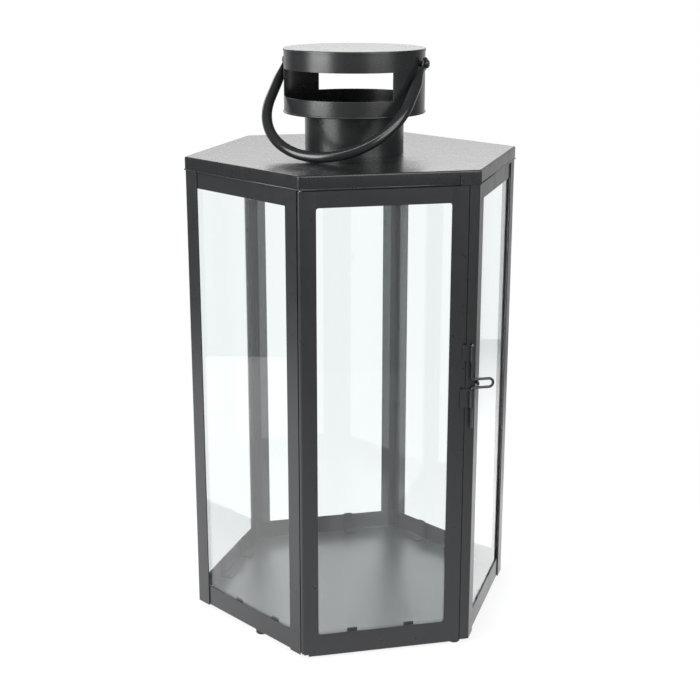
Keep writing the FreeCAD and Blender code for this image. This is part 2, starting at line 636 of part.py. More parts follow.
def handle_bail():
    """Round rod bent to a bail, its ends flattened into eyes."""
    direction, neck, tangent = bail_points()
    lowest = Vector(0, 0, -BAIL_LENGTH)
    path = Part.Wire([Part.makeLine(neck, tangent),
                      Part.Arc(tangent, lowest, mirror_x(tangent)).toShape(),
                      Part.makeLine(mirror_x(tangent), mirror_x(neck))])
    section = Part.Wire(Part.makeCircle(ROD_RADIUS, neck, direction))
    bail = path.makePipeShell([section], True, False)
    eye = Part.makeCylinder(EYE_DIAMETER / 2, EYE_THICK,
                            Vector(PIVOT_U - EYE_THICK / 2, 0, 0), Vector(1, 0, 0))
    root = Vector(PIVOT_U, 0, -EYE_ROOT)
    half_chord = math.sqrt((EYE_DIAMETER / 2) ** 2 - EYE_ROOT ** 2)
    flat = Part.Ellipse(Vector(0, 0, 0), half_chord, EYE_THICK / 2).toShape()
    flat.Placement = FreeCAD.Placement(root, FreeCAD.Rotation(UP, 90))
    neck_end = Part.makeCircle(ROD_RADIUS, neck, direction)
    taper = Part.makeLoft([Part.Wire(flat), Part.Wire(neck_end)], True, True)
    end = eye.fuse(taper)
    other = end.mirror(Vector(0, 0, 0), Vector(1, 0, 0))
    hole = Part.makeCylinder(RIVET_DIAMETER / 2 + RIVET_FIT, CAP_DIAMETER * 2,
                             Vector(-CAP_DIAMETER, 0, 0), Vector(1, 0, 0))
    return seated(single(bail.fuse([end, other]).cut(hole)))


def handle_rivets():
    """Shoulder rivets through the cap's wall and the bail's eyes."""
    seat = math.sqrt((CAP_RADIUS - SHEET) ** 2 - (RIVET_HEAD / 2) ** 2)
    inner = seat - RIVET_COLLAR_THICK
    outer = PIVOT_U + EYE_THICK / 2 + RIVET_HEAD_GAP
    shank = pivot_bar(RIVET_DIAMETER / 2, inner, outer + RIVET_HEAD_THICK)
    collar = pivot_bar(RIVET_HEAD / 2, inner, seat)
    head = pivot_bar(RIVET_HEAD / 2, outer, outer + RIVET_HEAD_THICK)
    rims = [edge for edge in head.Edges if edge.Closed]
    outermost = max(rims, key=lambda edge: math.hypot(edge.CenterOfMass.x, edge.CenterOfMass.y))
    head = head.makeFillet(RIVET_HEAD_ROUND, [outermost])
    rivet = single(shank.fuse([collar, head]))
    return [rivet, turned(rivet, 180)]


# ---------------------------------------------------------------- build
os.makedirs("parts", exist_ok=True)

save("base_floor", base_floor())
save("feet", *feet())
save("door_sill", door_sill())
save("door_header", door_header())
for side in FIXED_SIDES:
    save("lower_rail_" + side, lower_rail(side))
    save("upper_rail_" + side, upper_rail(side))
    save("glass_" + side, pane(side))
for name in POSTS:
    if not name.startswith("front"):
        save("post_" + name, post(name))
save("post_front_right", post_front_right())
save("post_front_left", post_front_left())
save("glass_clips_lower", *all_clips(lower_clip))
save("glass_clips_upper", *all_clips(upper_clip))

save("door_stile_hinge", door_stile_hinge())
save("door_stile_latch", door_stile_latch())
save("door_rail_lower", door_rail((DOOR_BOTTOM, RAIL_TOP)))
save("door_rail_upper", door_rail((HEADER_BOTTOM, DOOR_TOP)))
save("door_glass", door_glass())
save("door_glass_clips", *door_clips())
save("door_hinge_pins", *hinge_pins())

save("latch_strap_upper", latch_strap(STRAP_LEFT_UPPER, UPPER_STRAP))
save("latch_strap_lower", latch_strap(STRAP_LEFT_LOWER, LOWER_STRAP))
save("latch_wire", latch_wire())
save("latch_keeper", latch_keeper())

save("roof", roof())
save("roof_lap_tab", roof_lap_tab())
save("chimney_tube", chimney_tube())
save("chimney_flange_lower", tube_flange(ROOF_UNDER))
save("chimney_flange_upper", tube_flange(CAP_BOTTOM))
save("cap_floor", cap_floor())
save("cap_wall", cap_wall())
save("cap_top", cap_top())
save("handle_bail", handle_bail())
save("handle_rivets", *handle_rivets())

print("bail tilt from hanging straight %.2f" % BAIL_TILT)
print("hinge axis x %.3f y %.3f" % (HINGE_S, -APOTHEM + HINGE_DEPTH))
print("latch axis x %.3f y %.3f" % (LATCH_S, -APOTHEM - LATCH_AXIS_OUT))
print("pivot z %.3f" % PIVOT_Z)
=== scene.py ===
"""Looks of a hexagonal black lantern: formed sheet, float glass, bent rod, and a white studio.

Sizes are in millimetres, and a finished mesh is scaled to metres. Each side is drawn at the front:
x runs along the side, y inwards from its outer face, and z up. It is then turned to its place.
"""
import json
import math

import bmesh
import bpy
from mathutils import Matrix, Vector


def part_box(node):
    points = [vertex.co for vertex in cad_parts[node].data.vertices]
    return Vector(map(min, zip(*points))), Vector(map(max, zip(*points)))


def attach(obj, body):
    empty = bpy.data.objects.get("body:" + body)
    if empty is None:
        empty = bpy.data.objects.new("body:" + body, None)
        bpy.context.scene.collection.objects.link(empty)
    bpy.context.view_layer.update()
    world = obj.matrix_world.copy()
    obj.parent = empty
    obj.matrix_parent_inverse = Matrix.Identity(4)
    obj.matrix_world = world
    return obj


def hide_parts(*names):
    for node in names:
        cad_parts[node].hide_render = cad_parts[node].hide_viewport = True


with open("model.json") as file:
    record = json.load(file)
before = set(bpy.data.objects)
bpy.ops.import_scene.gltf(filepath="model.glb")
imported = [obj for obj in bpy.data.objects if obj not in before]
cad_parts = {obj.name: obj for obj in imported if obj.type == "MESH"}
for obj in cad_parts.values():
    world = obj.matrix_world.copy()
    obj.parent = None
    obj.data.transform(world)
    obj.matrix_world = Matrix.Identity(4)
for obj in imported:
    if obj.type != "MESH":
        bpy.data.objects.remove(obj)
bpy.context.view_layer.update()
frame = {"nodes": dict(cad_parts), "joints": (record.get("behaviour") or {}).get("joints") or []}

MM = 0.001


def span(node):
    """Lowest and highest corner of a CAD node, in millimetres."""
    low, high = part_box(node)
    return low / MM, high / MM


# ---------------------------------------------------------------- sizes read from the frame
APOTHEM = -span("door_stile_latch")[0].y        # axis to the front face
LEAN = math.radians(30)                         # side's normal to the radial plane of its corner
HALF_SIDE = APOTHEM * math.tan(LEAN)
CORNER = 2 * HALF_SIDE
FLOOR_LOW, FLOOR_TOP = (corner.z for corner in span("base_floor"))
SHEET = FLOOR_TOP - FLOOR_LOW
BASE = FLOOR_LOW - SHEET
LIP_BOTTOM, ROOF_TOP = (corner.z for corner in span("roof"))
ROOF_UNDER = ROOF_TOP - SHEET
RAIL_TOP = span("lower_rail_back")[1].z
HEADER_BOTTOM = span("upper_rail_back")[0].z
DOOR_BOTTOM, DOOR_TOP = (corner.z for corner in span("door_stile_latch"))
OPENING_LEFT, OPENING_RIGHT = (corner.x for corner in span("door_rail_lower"))
DOOR_RIGHT = span("door_stile_latch")[1].x
JOINTS = {joint["name"]: Vector(joint["pos_m"]) / MM for joint in frame["joints"]}
HINGE_X = JOINTS["door_hinge"].x
HINGE_DEPTH = JOINTS["door_hinge"].y + APOTHEM
LATCH_X = JOINTS["latch_swing"].x
LATCH_DEPTH = JOINTS["latch_swing"].y + APOTHEM
PIVOT_Z = JOINTS["handle_swing"].z
CAP_BOTTOM = span("cap_floor")[0].z
CAP_TOP = span("cap_top")[1].z
CAP_WALL_TOP = span("cap_wall")[1].z
TUBE_RADIUS = span("chimney_tube")[1].x

# ---------------------------------------------------------------- sizes of the formed parts
SAME_PLACE = 1e-3               # coordinates closer than this are one place
WELD = 1e-4                     # points closer than this become one
EDGE = 0.22                     # rounding of a cut sheet edge under its coat
SMALL_EDGE = 0.18               # the same on straps and laps
FINE_EDGE = 0.15                # on clips and the latch's tongue
LID_EDGE = 0.1                  # on the lid's rim
RIVET_EDGE = 0.12               # on the rivets' shoulders
SHARP_ANGLE = 38                # degrees between two faces, past which their edge is rounded
SHEET_FOLD = 1.1                # outer radius of a pressed fold
STOP_FOLD = 0.4                 # tighter fold where the latch post steps back
FOLD_STEPS = 5
ROLL_STEPS = 24                 # steps round a rolled or curled edge
TUBE_STEPS = 120
CAP_STEPS = 180
PANE_DEPTH = 2 * SHEET          # outer face of a side to its fixed pane
PANE_INSET = 6.0                # end of a side to the edge of its pane
GLASS_EDGE = 0.3                # ground edge of a pane
FLANGE = 12.0
HINGE_FLANGE = (3.3, 13.5)      # hinge post's flange, from the front left corner
HINGE_DRESSED = 0.7             # its outer face reaches this much further, close to the barrel
LATCH_FLANGE = 6.5
STOP_WIDTH = 5.5                # strip that the closed door's edge lies in front of
CLEAR = 0.4                     # gap left between a moving piece and a fixed one
RAIL_FOOT = 8.0
CLIP_SHEET = 0.7
CLIP_WIDTH = 7.0
CLIP_FOLD = 0.9
CLIP_SPACING = 39.2             # middle to middle of a side's two clips
CLIP_REACH = 1.8                # how far a clip's leaf stands past the rail
LOWER_CLIP_FOOT = 8.0
UPPER_CLIP_FOOT = 4.0
UPPER_CLIP_HEIGHT = 16.0
CLIP_OFFSETS = {"left": 6.2, "back_left": -3.0, "back": 2.0, "back_right": 4.0, "right": -2.0}
DOOR_CLIP_OFFSET = -4.1         # each pair sits a little off its side's middle
DOOR_GLASS_LOW, DOOR_GLASS_HIGH = (corner.z for corner in span("door_glass"))
GLASS = span("door_glass")[1].y - span("door_glass")[0].y
PAD_PLACES = {"front": 49.0, "left": 7.7, "back": 49.0, "back_right": 7.7}  # along each side
PAD_DEPTH = 5.2                 # outer face of a side to a pad's middle
PAD_RADIUS = 4.0
PAD_ROUND = 0.9
PAD_STEPS = 48
CORNER_STEPS = 6
OPENING_ROUND = 1.6             # rounded corners of the door's opening
BARREL_RADIUS = 2.0
BARREL_WRAP = 285               # degrees that the hinge edge is rolled
HINGE_NOTCH = 2.6               # the barrel's foot is cut away as far as this from its middle
BARREL_LOW = BASE + SHEET + CLEAR
JAMB_DEPTH = HINGE_DEPTH + BARREL_RADIUS + CLEAR        # front face to the jamb behind it
SLOT_WIDTH = 2.2
SLOT_HEIGHT = 1.6
STRAP_DIP = (-0.6, 0.5)         # from the stile's edge, where a strap dips behind the wire
STRAP_WRAP = 300                # degrees that it curls round the wire
TONGUE_ROUND = 0.9
WIRE = 1.8
WIRE_FIT = 0.1
WIRE_SIDES = 20
WIRE_TIP = 0.4                  # length of the wire's eased tips
WIRE_TIP_SHARE = 0.6            # their width, as a share of the wire's
LOOP_PITCH = 5.7                # middle to middle of the loop's two legs
LOOP_REACH = 14.2
LOOP_BEND = 1.5
ROOF_FOLD = 1.2
HOLE_FIT = 0.2
PILLAR_ANGLE = 62               # degrees of the cap's wall between its two windows
PILLAR_AZIMUTH = -40
WINDOW_BOTTOM = 11.0
WINDOW_HEIGHT = 18.0
CAP_RADIUS = 47.5
BEAD_RADIUS = 0.7
RIM_HEIGHT = 1.8
RIM_PROUD = 0.35                # how far the lid's rim stands out from the wall
RIM_ROUND = 0.9
ROD_RADIUS = 3.5
ROD_SIDES = 28
BAIL_AZIMUTH = -36.5
BAIL_ARC_RADIUS = 49.8
BAIL_ARC_DROP = 34.4            # from the pivots down to the arc's centre
BAIL_ARC_STEPS = 32             # steps of half the arc
EYE_RADIUS = 4.5
EYE_THICK = 2.4
EYE_TURNS = [8 + 10.6 * step for step in range(13)]     # degrees round the eye, from its tip
EYE_RIM_SHARE = 0.45            # thickness of the eye's tip, as a share of the whole
EYE_NECK = 20.0                 # from the pivot to where the flat end is a round rod
NECK_STEPS = 8
ARM_SHARE = 0.8                 # last station of the straight arm, as a share of its length
EYE_FIT = 1.7                   # cap's wall to the eye
PIVOT_REACH = CAP_RADIUS + EYE_FIT + EYE_THICK / 2       # axis to the middle of an eye
RIVET_RADIUS = 1.8
RIVET_STEPS = 40
RIVET_HEAD = 2.8
RIVET_HEAD_THICK = 1.4
RIVET_HEAD_ROUND = 1.1
RIVET_HEAD_GAP = 0.2
RIVET_COLLAR = 0.7
HEM_RADIUS = 0.55               # rolled hem on the lower edge of the roof's lip
HEM_PROUD = 0.35                # how far it stands out from the lip

SIDES = {"front": 0, "right": 60, "back_right": 120, "back": 180, "back_left": 240, "left": 300}
FIXED_SIDES = [side for side in SIDES if side != "front"]
CORNERS = {"right": 90, "back_right": 150, "back_left": 210, "left": 270}


# ---------------------------------------------------------------- materials
PEEL_DEPTH = 0.006              # millimetres that the ripples in the powder coat stand up
TONE_DRIFT = 45                 # millimetres across one drift of the coat's tone
GLOSS_DRIFT = 9                 # the same for its gloss
GLOSS_SPREAD = 0.03             # how far the roughness drifts to either side
COLOUR_A, COLOUR_B = 6, 7       # a Mix node's colour inputs, which share their names with others
MIXED = 2                       # and its colour output


def linear(hex_colour):
    """An sRGB hex colour as linear red, green, blue and alpha."""
    parts = [int(hex_colour[i:i + 2], 16) / 255 for i in (1, 3, 5)]
    return [c / 12.92 if c <= 0.04045 else ((c + 0.055) / 1.055) ** 2.4 for c in parts] + [1.0]


def node(tree, kind, sockets=None, **settings):
    """Adds a shader node. sockets maps an input to a value or to the output that feeds it."""
    new = tree.nodes.new("ShaderNode" + kind)
    for name, value in settings.items():
        setattr(new, name, value)
    for name, value in (sockets or {}).items():
        if isinstance(value, bpy.types.NodeSocket):
            tree.links.new(value, new.inputs[name])
        else:
            new.inputs[name].default_value = value
    return new


def blank(name):
    """A new material and its empty node tree."""
    material = bpy.data.materials.new(name)
    material.use_nodes = True
    material.node_tree.nodes.clear()
    return material, material.node_tree


def per_metre(millimetres):
    """Noise scale at which one cell is this many millimetres of Object coordinates."""
    return 1 / (millimetres * MM)


def powder_coat(part, dark, pale, gloss, peel):
    """Polyester powder coat on mild steel: satin, with the faint orange peel of an oven cure.

    dark and pale are the two tones that the coat drifts between, gloss its middle roughness and
    peel the width of its ripples in millimetres.
    """
    material, tree = blank("satin_black_powder_coat_" + part)
    place = node(tree, "TexCoord").outputs["Object"]
    cloud = node(tree, "TexNoise", {"Vector": place, "Scale": per_metre(TONE_DRIFT),
                                    "Detail": 3.0})
    tone = node(tree, "Mix", {"Factor": cloud.outputs["Fac"], COLOUR_A: linear(dark),
                              COLOUR_B: linear(pale)}, data_type="RGBA")
    matt = node(tree, "TexNoise", {"Vector": place, "Scale": per_metre(GLOSS_DRIFT),
                                   "Detail": 4.0})
    rough = node(tree, "MapRange", {"Value": matt.outputs["Fac"], "From Min": 0.3, "From Max": 0.7,
                                    "To Min": gloss - GLOSS_SPREAD,
                                    "To Max": gloss + GLOSS_SPREAD})
    ripple = node(tree, "TexNoise", {"Vector": place, "Scale": per_metre(peel), "Detail": 2.0})
    bump = node(tree, "Bump", {"Height": ripple.outputs["Fac"], "Strength": 1.0,
                               "Distance": PEEL_DEPTH * MM})
    shader = node(tree, "BsdfPrincipled", {
        "Base Color": tone.outputs[MIXED], "Roughness": rough.outputs["Result"],
        "Normal": bump.outputs["Normal"], "Metallic": 0.0, "IOR": 1.5})
    node(tree, "OutputMaterial", {"Surface": shader.outputs["BSDF"]})
    return material


def float_glass():
    """Clear float glass with ground edges: sharp reflections, and a cool green in its depth.

    Lamps shine through it, so that the floor inside the lantern is lit as it is in real glass.
    """
    material, tree = blank("clear_float_glass")
    place = node(tree, "TexCoord").outputs["Object"]
    wave = node(tree, "TexNoise", {"Vector": place, "Scale": per_metre(70), "Detail": 1.0})
    bump = node(tree, "Bump", {"Height": wave.outputs["Fac"], "Strength": 0.05,
                               "Distance": 0.2 * MM})
    shader = node(tree, "BsdfPrincipled", {
        "Base Color": linear("#FCFFFF"), "Roughness": 0.01, "IOR": 1.52,
        "Transmission Weight": 1.0, "Normal": bump.outputs["Normal"]})
    clear = node(tree, "BsdfTransparent", {"Color": linear("#F8FCFC")})
    shadow = node(tree, "LightPath").outputs["Is Shadow Ray"]
    both = node(tree, "MixShader", {0: shadow, 1: shader.outputs["BSDF"],
                                    2: clear.outputs["BSDF"]})
    node(tree, "OutputMaterial", {"Surface": both.outputs["Shader"]})
    return material


def moulded_rubber():
    """Black moulded rubber of the feet: matt, with a dusty grey bloom and a fine grain.

    The grain is drawn at 0.4 mm, coarser than it is, because the real one is too fine to show.
    """
    material, tree = blank("moulded_black_rubber")
    place = node(tree, "TexCoord").outputs["Object"]
    bloom = node(tree, "TexNoise", {"Vector": place, "Scale": per_metre(3), "Detail": 4.0})
    tone = node(tree, "Mix", {"Factor": bloom.outputs["Fac"], COLOUR_A: linear("#151515"),
                              COLOUR_B: linear("#262626")}, data_type="RGBA")
    grain = node(tree, "TexNoise", {"Vector": place, "Scale": per_metre(0.4), "Detail": 2.0})
    bump = node(tree, "Bump", {"Height": grain.outputs["Fac"], "Strength": 0.3,
                               "Distance": 0.05 * MM})
    shader = node(tree, "BsdfPrincipled", {
        "Base Color": tone.outputs[MIXED], "Roughness": 0.75, "IOR": 1.52,
        "Normal": bump.outputs["Normal"]})
    node(tree, "OutputMaterial", {"Surface": shader.outputs["BSDF"]})
    return material


def zinc_plated_steel():
    """Zinc-plated steel of the hinge pins: drawn along its length, so it shines in streaks.

    The streaks are 0.3 mm wide, coarser than a real wire's, because those are too fine to show.
    """
    material, tree = blank("zinc_plated_steel")
    place = node(tree, "TexCoord").outputs["Object"]
    drawn = node(tree, "Mapping", {"Vector": place, "Scale": (1.0, 1.0, 0.05)})
    streak = node(tree, "TexNoise", {"Vector": drawn.outputs["Vector"], "Scale": per_metre(0.3)})
    rough = node(tree, "MapRange", {"Value": streak.outputs["Fac"], "To Min": 0.25,
                                    "To Max": 0.45})
    tone = node(tree, "Mix", {"Factor": streak.outputs["Fac"], COLOUR_A: linear("#A9ABAD"),
                              COLOUR_B: linear("#C9CBCC")}, data_type="RGBA")
    shader = node(tree, "BsdfPrincipled", {
        "Base Color": tone.outputs[MIXED], "Metallic": 1.0, "Roughness": rough.outputs["Result"]})
    node(tree, "OutputMaterial", {"Surface": shader.outputs["BSDF"]})
    return material


# Finishes: the record's slot and the material.
FRAME_COAT = ("frame_coat", powder_coat("frame", "#1D1E20", "#212224", 0.3, 1.3))
ROOF_COAT = ("roof_coat", powder_coat("roof", "#191A1B", "#1D1E1F", 0.28, 1.5))
# The floor's coat is the frame's black drawn paler: painted light, for the light that falls on the
# floor through the glass.
FLOOR_COAT_PAINTED_LIGHTER = ("floor_coat", powder_coat("floor", "#2A2B2D", "#303133", 0.34, 1.3))
CAP_COAT = ("cap_coat", powder_coat("cap", "#1B1C1D", "#202122", 0.28, 1.2))
ROD_COAT = ("handle_coat", powder_coat("rod", "#1A1B1C", "#1F2021", 0.19, 1.0))
LATCH_COAT = ("latch_coat", powder_coat("latch", "#1B1C1E", "#202123", 0.3, 0.8))
CLEAR_GLASS = ("pane_glass", float_glass())
FOOT_RUBBER = ("foot_rubber", moulded_rubber())
PIN_STEEL = zinc_plated_steel()


# ---------------------------------------------------------------- mesh helpers
def on_side(side):
    """Moves a mesh drawn at the front to its own side."""
    turn = Matrix.Rotation(math.radians(SIDES[side]), 4, "Z")
    return turn @ Matrix.Translation((0, -APOTHEM, 0))


AT_FRONT = on_side("front")


def along_side():
    """Turns a mesh drawn as (depth, height, position) into (position, depth, height)."""
    return Matrix(((0, 0, 1, 0), (1, 0, 0, 0), (0, 1, 0, 0), (0, 0, 0, 1)))


def bevelled(bm, geom, offset, steps, kind="EDGES", clamp=False):
    """Rounds edges or vertices in so many steps."""
    bmesh.ops.bevel(bm, geom=geom, offset=offset, offset_type="OFFSET", segments=steps,
                    profile=0.5, affect=kind, material=-1, clamp_overlap=clamp)


def swept(bm, geom, centre, axis, degrees, steps):
    """Spins geometry about an axis, and closes a full turn."""
    return bmesh.ops.spin(bm, geom=geom, cent=centre, axis=axis, angle=math.radians(degrees),
                          steps=steps, use_merge=degrees == 360, dvec=(0, 0, 0))


def rotated(bm, verts, angle):
    """Turns vertices about Z."""
    bmesh.ops.rotate(bm, verts=verts, cent=(0, 0, 0), matrix=Matrix.Rotation(angle, 3, "Z"))


def cut(bm, point, normal, clear=False):
    """Cuts a mesh by a plane, and can clear what lies on the normal's side."""
    bmesh.ops.bisect_plane(bm, geom=bm.verts[:] + bm.edges[:] + bm.faces[:], plane_co=point,
                           plane_no=normal, clear_outer=clear)


def normals_out(bm):
    """Points a closed shell's faces outwards, or makes those of an open sheet agree."""
    bmesh.ops.recalc_face_normals(bm, faces=bm.faces[:])


def wire(bm, points, rounds=None, closed=False):
    """Draws edges through the points; rounds gives a bending radius at some of them."""
    verts = [bm.verts.new(point) for point in points]
    pairs = list(zip(verts, verts[1:])) + ([(verts[-1], verts[0])] if closed else [])
    for pair in pairs:
        bm.edges.new(pair)
    for index, radius in (rounds or {}).items():
        bend = verts[index]
        one, other = [edge.other_vert(bend).co - bend.co for edge in bend.link_edges]
        setback = radius * math.tan((math.pi - one.angle(other)) / 2)
        bevelled(bm, [bend], setback, FOLD_STEPS, "VERTICES")


def loose_edges(bm):
    """The edges that no face uses yet."""
    return [edge for edge in bm.edges if not edge.link_faces]


def raise_edges(bm, edges, vector):
    """Extrudes edges by a vector and gives the new edges back."""
    made = bmesh.ops.extrude_edge_only(bm, edges=edges)["geom"]
    verts = {item for item in made if isinstance(item, bmesh.types.BMVert)}
    bmesh.ops.translate(bm, verts=list(verts), vec=vector)
    return [item for item in made if isinstance(item, bmesh.types.BMEdge)
            and set(item.verts) <= verts]


def face_outwards(bm, outward):
    """Makes an open sheet's faces agree, the largest of them facing outwards."""
    normals_out(bm)
    largest = max(bm.faces, key=lambda face: face.calc_area())
    if largest.normal.dot(Vector(outward)) < 0:
        bmesh.ops.reverse_faces(bm, faces=bm.faces[:])


def thicken(bm, thickness, outward):
    """Gives an open sheet its thickness, inwards from its outer face."""
    face_outwards(bm, outward)
    bmesh.ops.solidify(bm, geom=bm.faces[:], thickness=thickness)
    normals_out(bm)


def soften(bm, radius=EDGE, steps=2, keep=None):
    """Rounds the sharp edges, apart from those that keep picks."""
    sharp = [edge for edge in bm.edges if edge.is_manifold
             and edge.calc_face_angle(0) > math.radians(SHARP_ANGLE)
             and not (keep and keep(edge))]
    bevelled(bm, sharp, radius, steps, clamp=True)


def edges_at(bm, place, length):
    """The edges at this y that run along x for more than a length."""
    return [edge for edge in bm.edges
            if all(abs(vert.co.y - place) < SAME_PLACE for vert in edge.verts)
            and abs(edge.verts[0].co.x - edge.verts[1].co.x) > length]


def folded_sheet(outline, low, high, outward, rounds=None, thickness=SHEET):
    """Sheet bent along an open (x, y) outline of its outer face, between two heights."""
    bm = bmesh.new()
    wire(bm, [(x, y, low) for x, y in outline], rounds)
    raise_edges(bm, loose_edges(bm), (0, 0, high - low))
    thicken(bm, thickness, outward)
    return bm


def plate(x, z, thickness, holes=()):
    """Flat sheet between the pairs x and z, its outer face at y = 0, with square holes."""
    bm = bmesh.new()
    bm.faces.new([bm.verts.new((a, 0, b)) for a, b in
                  ((x[0], z[0]), (x[1], z[0]), (x[1], z[1]), (x[0], z[1]))])
    for hole_x, hole_z in holes:
        for axis, places in ((Vector((1, 0, 0)), hole_x), (Vector((0, 0, 1)), hole_z)):
            for place in places:
                cut(bm, axis * place, axis)
    inside = [face for face in bm.faces for hole_x, hole_z in holes
              if hole_x[0] < face.calc_center_median().x < hole_x[1]
              and hole_z[0] < face.calc_center_median().z < hole_z[1]]
    bmesh.ops.delete(bm, geom=inside, context="FACES")
    thicken(bm, thickness, (0, -1, 0))
    return bm


def block(x, y, z):
    """A block between three pairs of values."""
    bm = bmesh.new()
    bmesh.ops.create_cube(bm, size=1)
    bmesh.ops.scale(bm, verts=bm.verts[:], vec=[pair[1] - pair[0] for pair in (x, y, z)])
    bmesh.ops.translate(bm, verts=bm.verts[:], vec=[sum(pair) / 2 for pair in (x, y, z)])
    return bm


def spun(points, rounds=None, closed=True, steps=TUBE_STEPS):
    """Turns a (radius, z) outline about Z."""
    bm = bmesh.new()
    wire(bm, [(radius, 0, z) for radius, z in points], rounds, closed)
    swept(bm, bm.verts[:] + bm.edges[:], (0, 0, 0), (0, 0, 1), 360, steps)
    bmesh.ops.remove_doubles(bm, verts=bm.verts[:], dist=WELD)
    return bm


def rolled_bead(reach, height, radius, sides, steps):
    """Round bead about Z at this reach from it: a ring in many steps, a hexagon in six."""
    bm = bmesh.new()
    bmesh.ops.create_circle(bm, radius=radius, segments=sides)
    upright = Matrix.Rotation(math.radians(90), 4, "X")
    bmesh.ops.transform(bm, verts=bm.verts[:],
                        matrix=Matrix.Translation((reach, 0, height)) @ upright)
    swept(bm, bm.verts[:] + bm.edges[:], (0, 0, 0), (0, 0, 1), 360, steps)
    normals_out(bm)
    return bm


def rod_along(stations, across, sides):
    """Bar through stations of (point, direction, half width, half thickness).

    The half widths lie along the unit vector across, which is square to the bar.
    """
    bm = bmesh.new()
    bmesh.ops.create_circle(bm, cap_ends=True, radius=1, segments=sides)
    verts, edges = bm.verts[:], bm.edges[:]
    here = Matrix()
    for count, (point, direction, width, thickness) in enumerate(stations):
        ahead = direction.normalized()
        columns = (across * width, ahead.cross(across) * thickness, ahead, point)
        there = Matrix([[column[row] for column in columns] for row in range(3)]
                       + [[0, 0, 0, 1]])
        if count:
            edges = raise_edges(bm, edges, (0, 0, 0))
            verts = list({vert for edge in edges for vert in edge.verts})
        bmesh.ops.transform(bm, matrix=there @ here.inverted(), verts=verts)
        here = there
    bmesh.ops.holes_fill(bm, edges=edges, sides=0)
    normals_out(bm)
    return bm


def merged(*meshes):
    """Several bmeshes as one."""
    whole = bmesh.new()
    for bm in meshes:
        mesh = bpy.data.meshes.new("joined")
        bm.to_mesh(mesh)
        bm.free()
        whole.from_mesh(mesh)
        bpy.data.meshes.remove(mesh)
    return whole


def finished(bm, name, body, finish, *nodes, place=None, flats=True):
    """Makes the piece of a mesh drawn in millimetres and sets it on its body."""
    slot, material = finish
    if place is not None:
        bm.transform(place)
    bm.transform(Matrix.Scale(MM, 4))
    mesh = bpy.data.meshes.new(name)
    bm.to_mesh(mesh)
    bm.free()
    mesh.shade_smooth()
    mesh.materials.append(material)
    piece = bpy.data.objects.new(name, mesh)
    bpy.context.scene.collection.objects.link(piece)
    if flats:
        piece.modifiers.new("large_faces_stay_flat", "WEIGHTED_NORMAL").keep_sharp = True
    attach(piece, body)
    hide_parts(*nodes)
    return piece


# ---------------------------------------------------------------- frame
def corner_post(corner):
    """Angle post of two flanges at 120 degrees."""
    run = Vector((math.cos(LEAN), math.sin(LEAN))) * FLANGE
    outline = [(-run.x, -CORNER + run.y), (0, -CORNER), (run.x, -CORNER + run.y)]
    bm = folded_sheet(outline, BASE, ROOF_UNDER, (0, -1, 0), {1: SHEET_FOLD})
    soften(bm)
    finished(bm, "corner_post_" + corner, "frame", FRAME_COAT, "post_" + corner,
             place=Matrix.Rotation(math.radians(CORNERS[corner]), 4, "Z"))


def latch_post():
    """Front right post: its narrow front flange steps back to the strip that stops the door."""
    edge = HALF_SIDE - LATCH_FLANGE
    step = SHEET + CLEAR
    outline = [(edge - STOP_WIDTH, step), (edge, step), (edge, 0), (HALF_SIDE, 0),
               (HALF_SIDE + FLANGE * math.sin(LEAN), FLANGE * math.cos(LEAN))]
    bm = folded_sheet(outline, BASE, ROOF_UNDER, (0, -1, 0), {3: SHEET_FOLD, 2: STOP_FOLD})
    soften(bm)
    finished(bm, "latch_post", "frame", FRAME_COAT, "post_front_right", place=AT_FRONT)


def hinge_post():
    """Front left post: a flange on the left side, and a jamb behind the door's rolled edge."""
    def on_left(distance):
        return (-HALF_SIDE - distance * math.sin(LEAN), distance * math.cos(LEAN))

    ends = [on_left(HINGE_FLANGE[1]), on_left(HINGE_FLANGE[0] - HINGE_DRESSED)]
    flange = folded_sheet(ends, BASE, ROOF_UNDER, (-math.cos(LEAN), -math.sin(LEAN), 0))
    along = Vector((-math.sin(LEAN), math.cos(LEAN), 0))
    inwards = Vector((math.cos(LEAN), math.sin(LEAN), 0))
    tip = Vector((*ends[1], 0))
    hidden = [vert for vert in flange.verts if (vert.co - tip).dot(along) < SHEET
              and (vert.co - tip).dot(inwards) > SHEET / 2]
    bmesh.ops.translate(flange, verts=hidden, vec=along * HINGE_DRESSED)
    inner = -HALF_SIDE - JAMB_DEPTH * math.tan(LEAN) + SHEET / math.cos(LEAN)
    jamb = folded_sheet([(inner, JAMB_DEPTH), (OPENING_LEFT - SHEET, JAMB_DEPTH)], BASE + SHEET,
                        ROOF_UNDER - SHEET, (0, -1, 0))
    bm = merged(flange, jamb)
    soften(bm)
    finished(bm, "hinge_post", "frame", FRAME_COAT, "post_front_left", place=AT_FRONT)


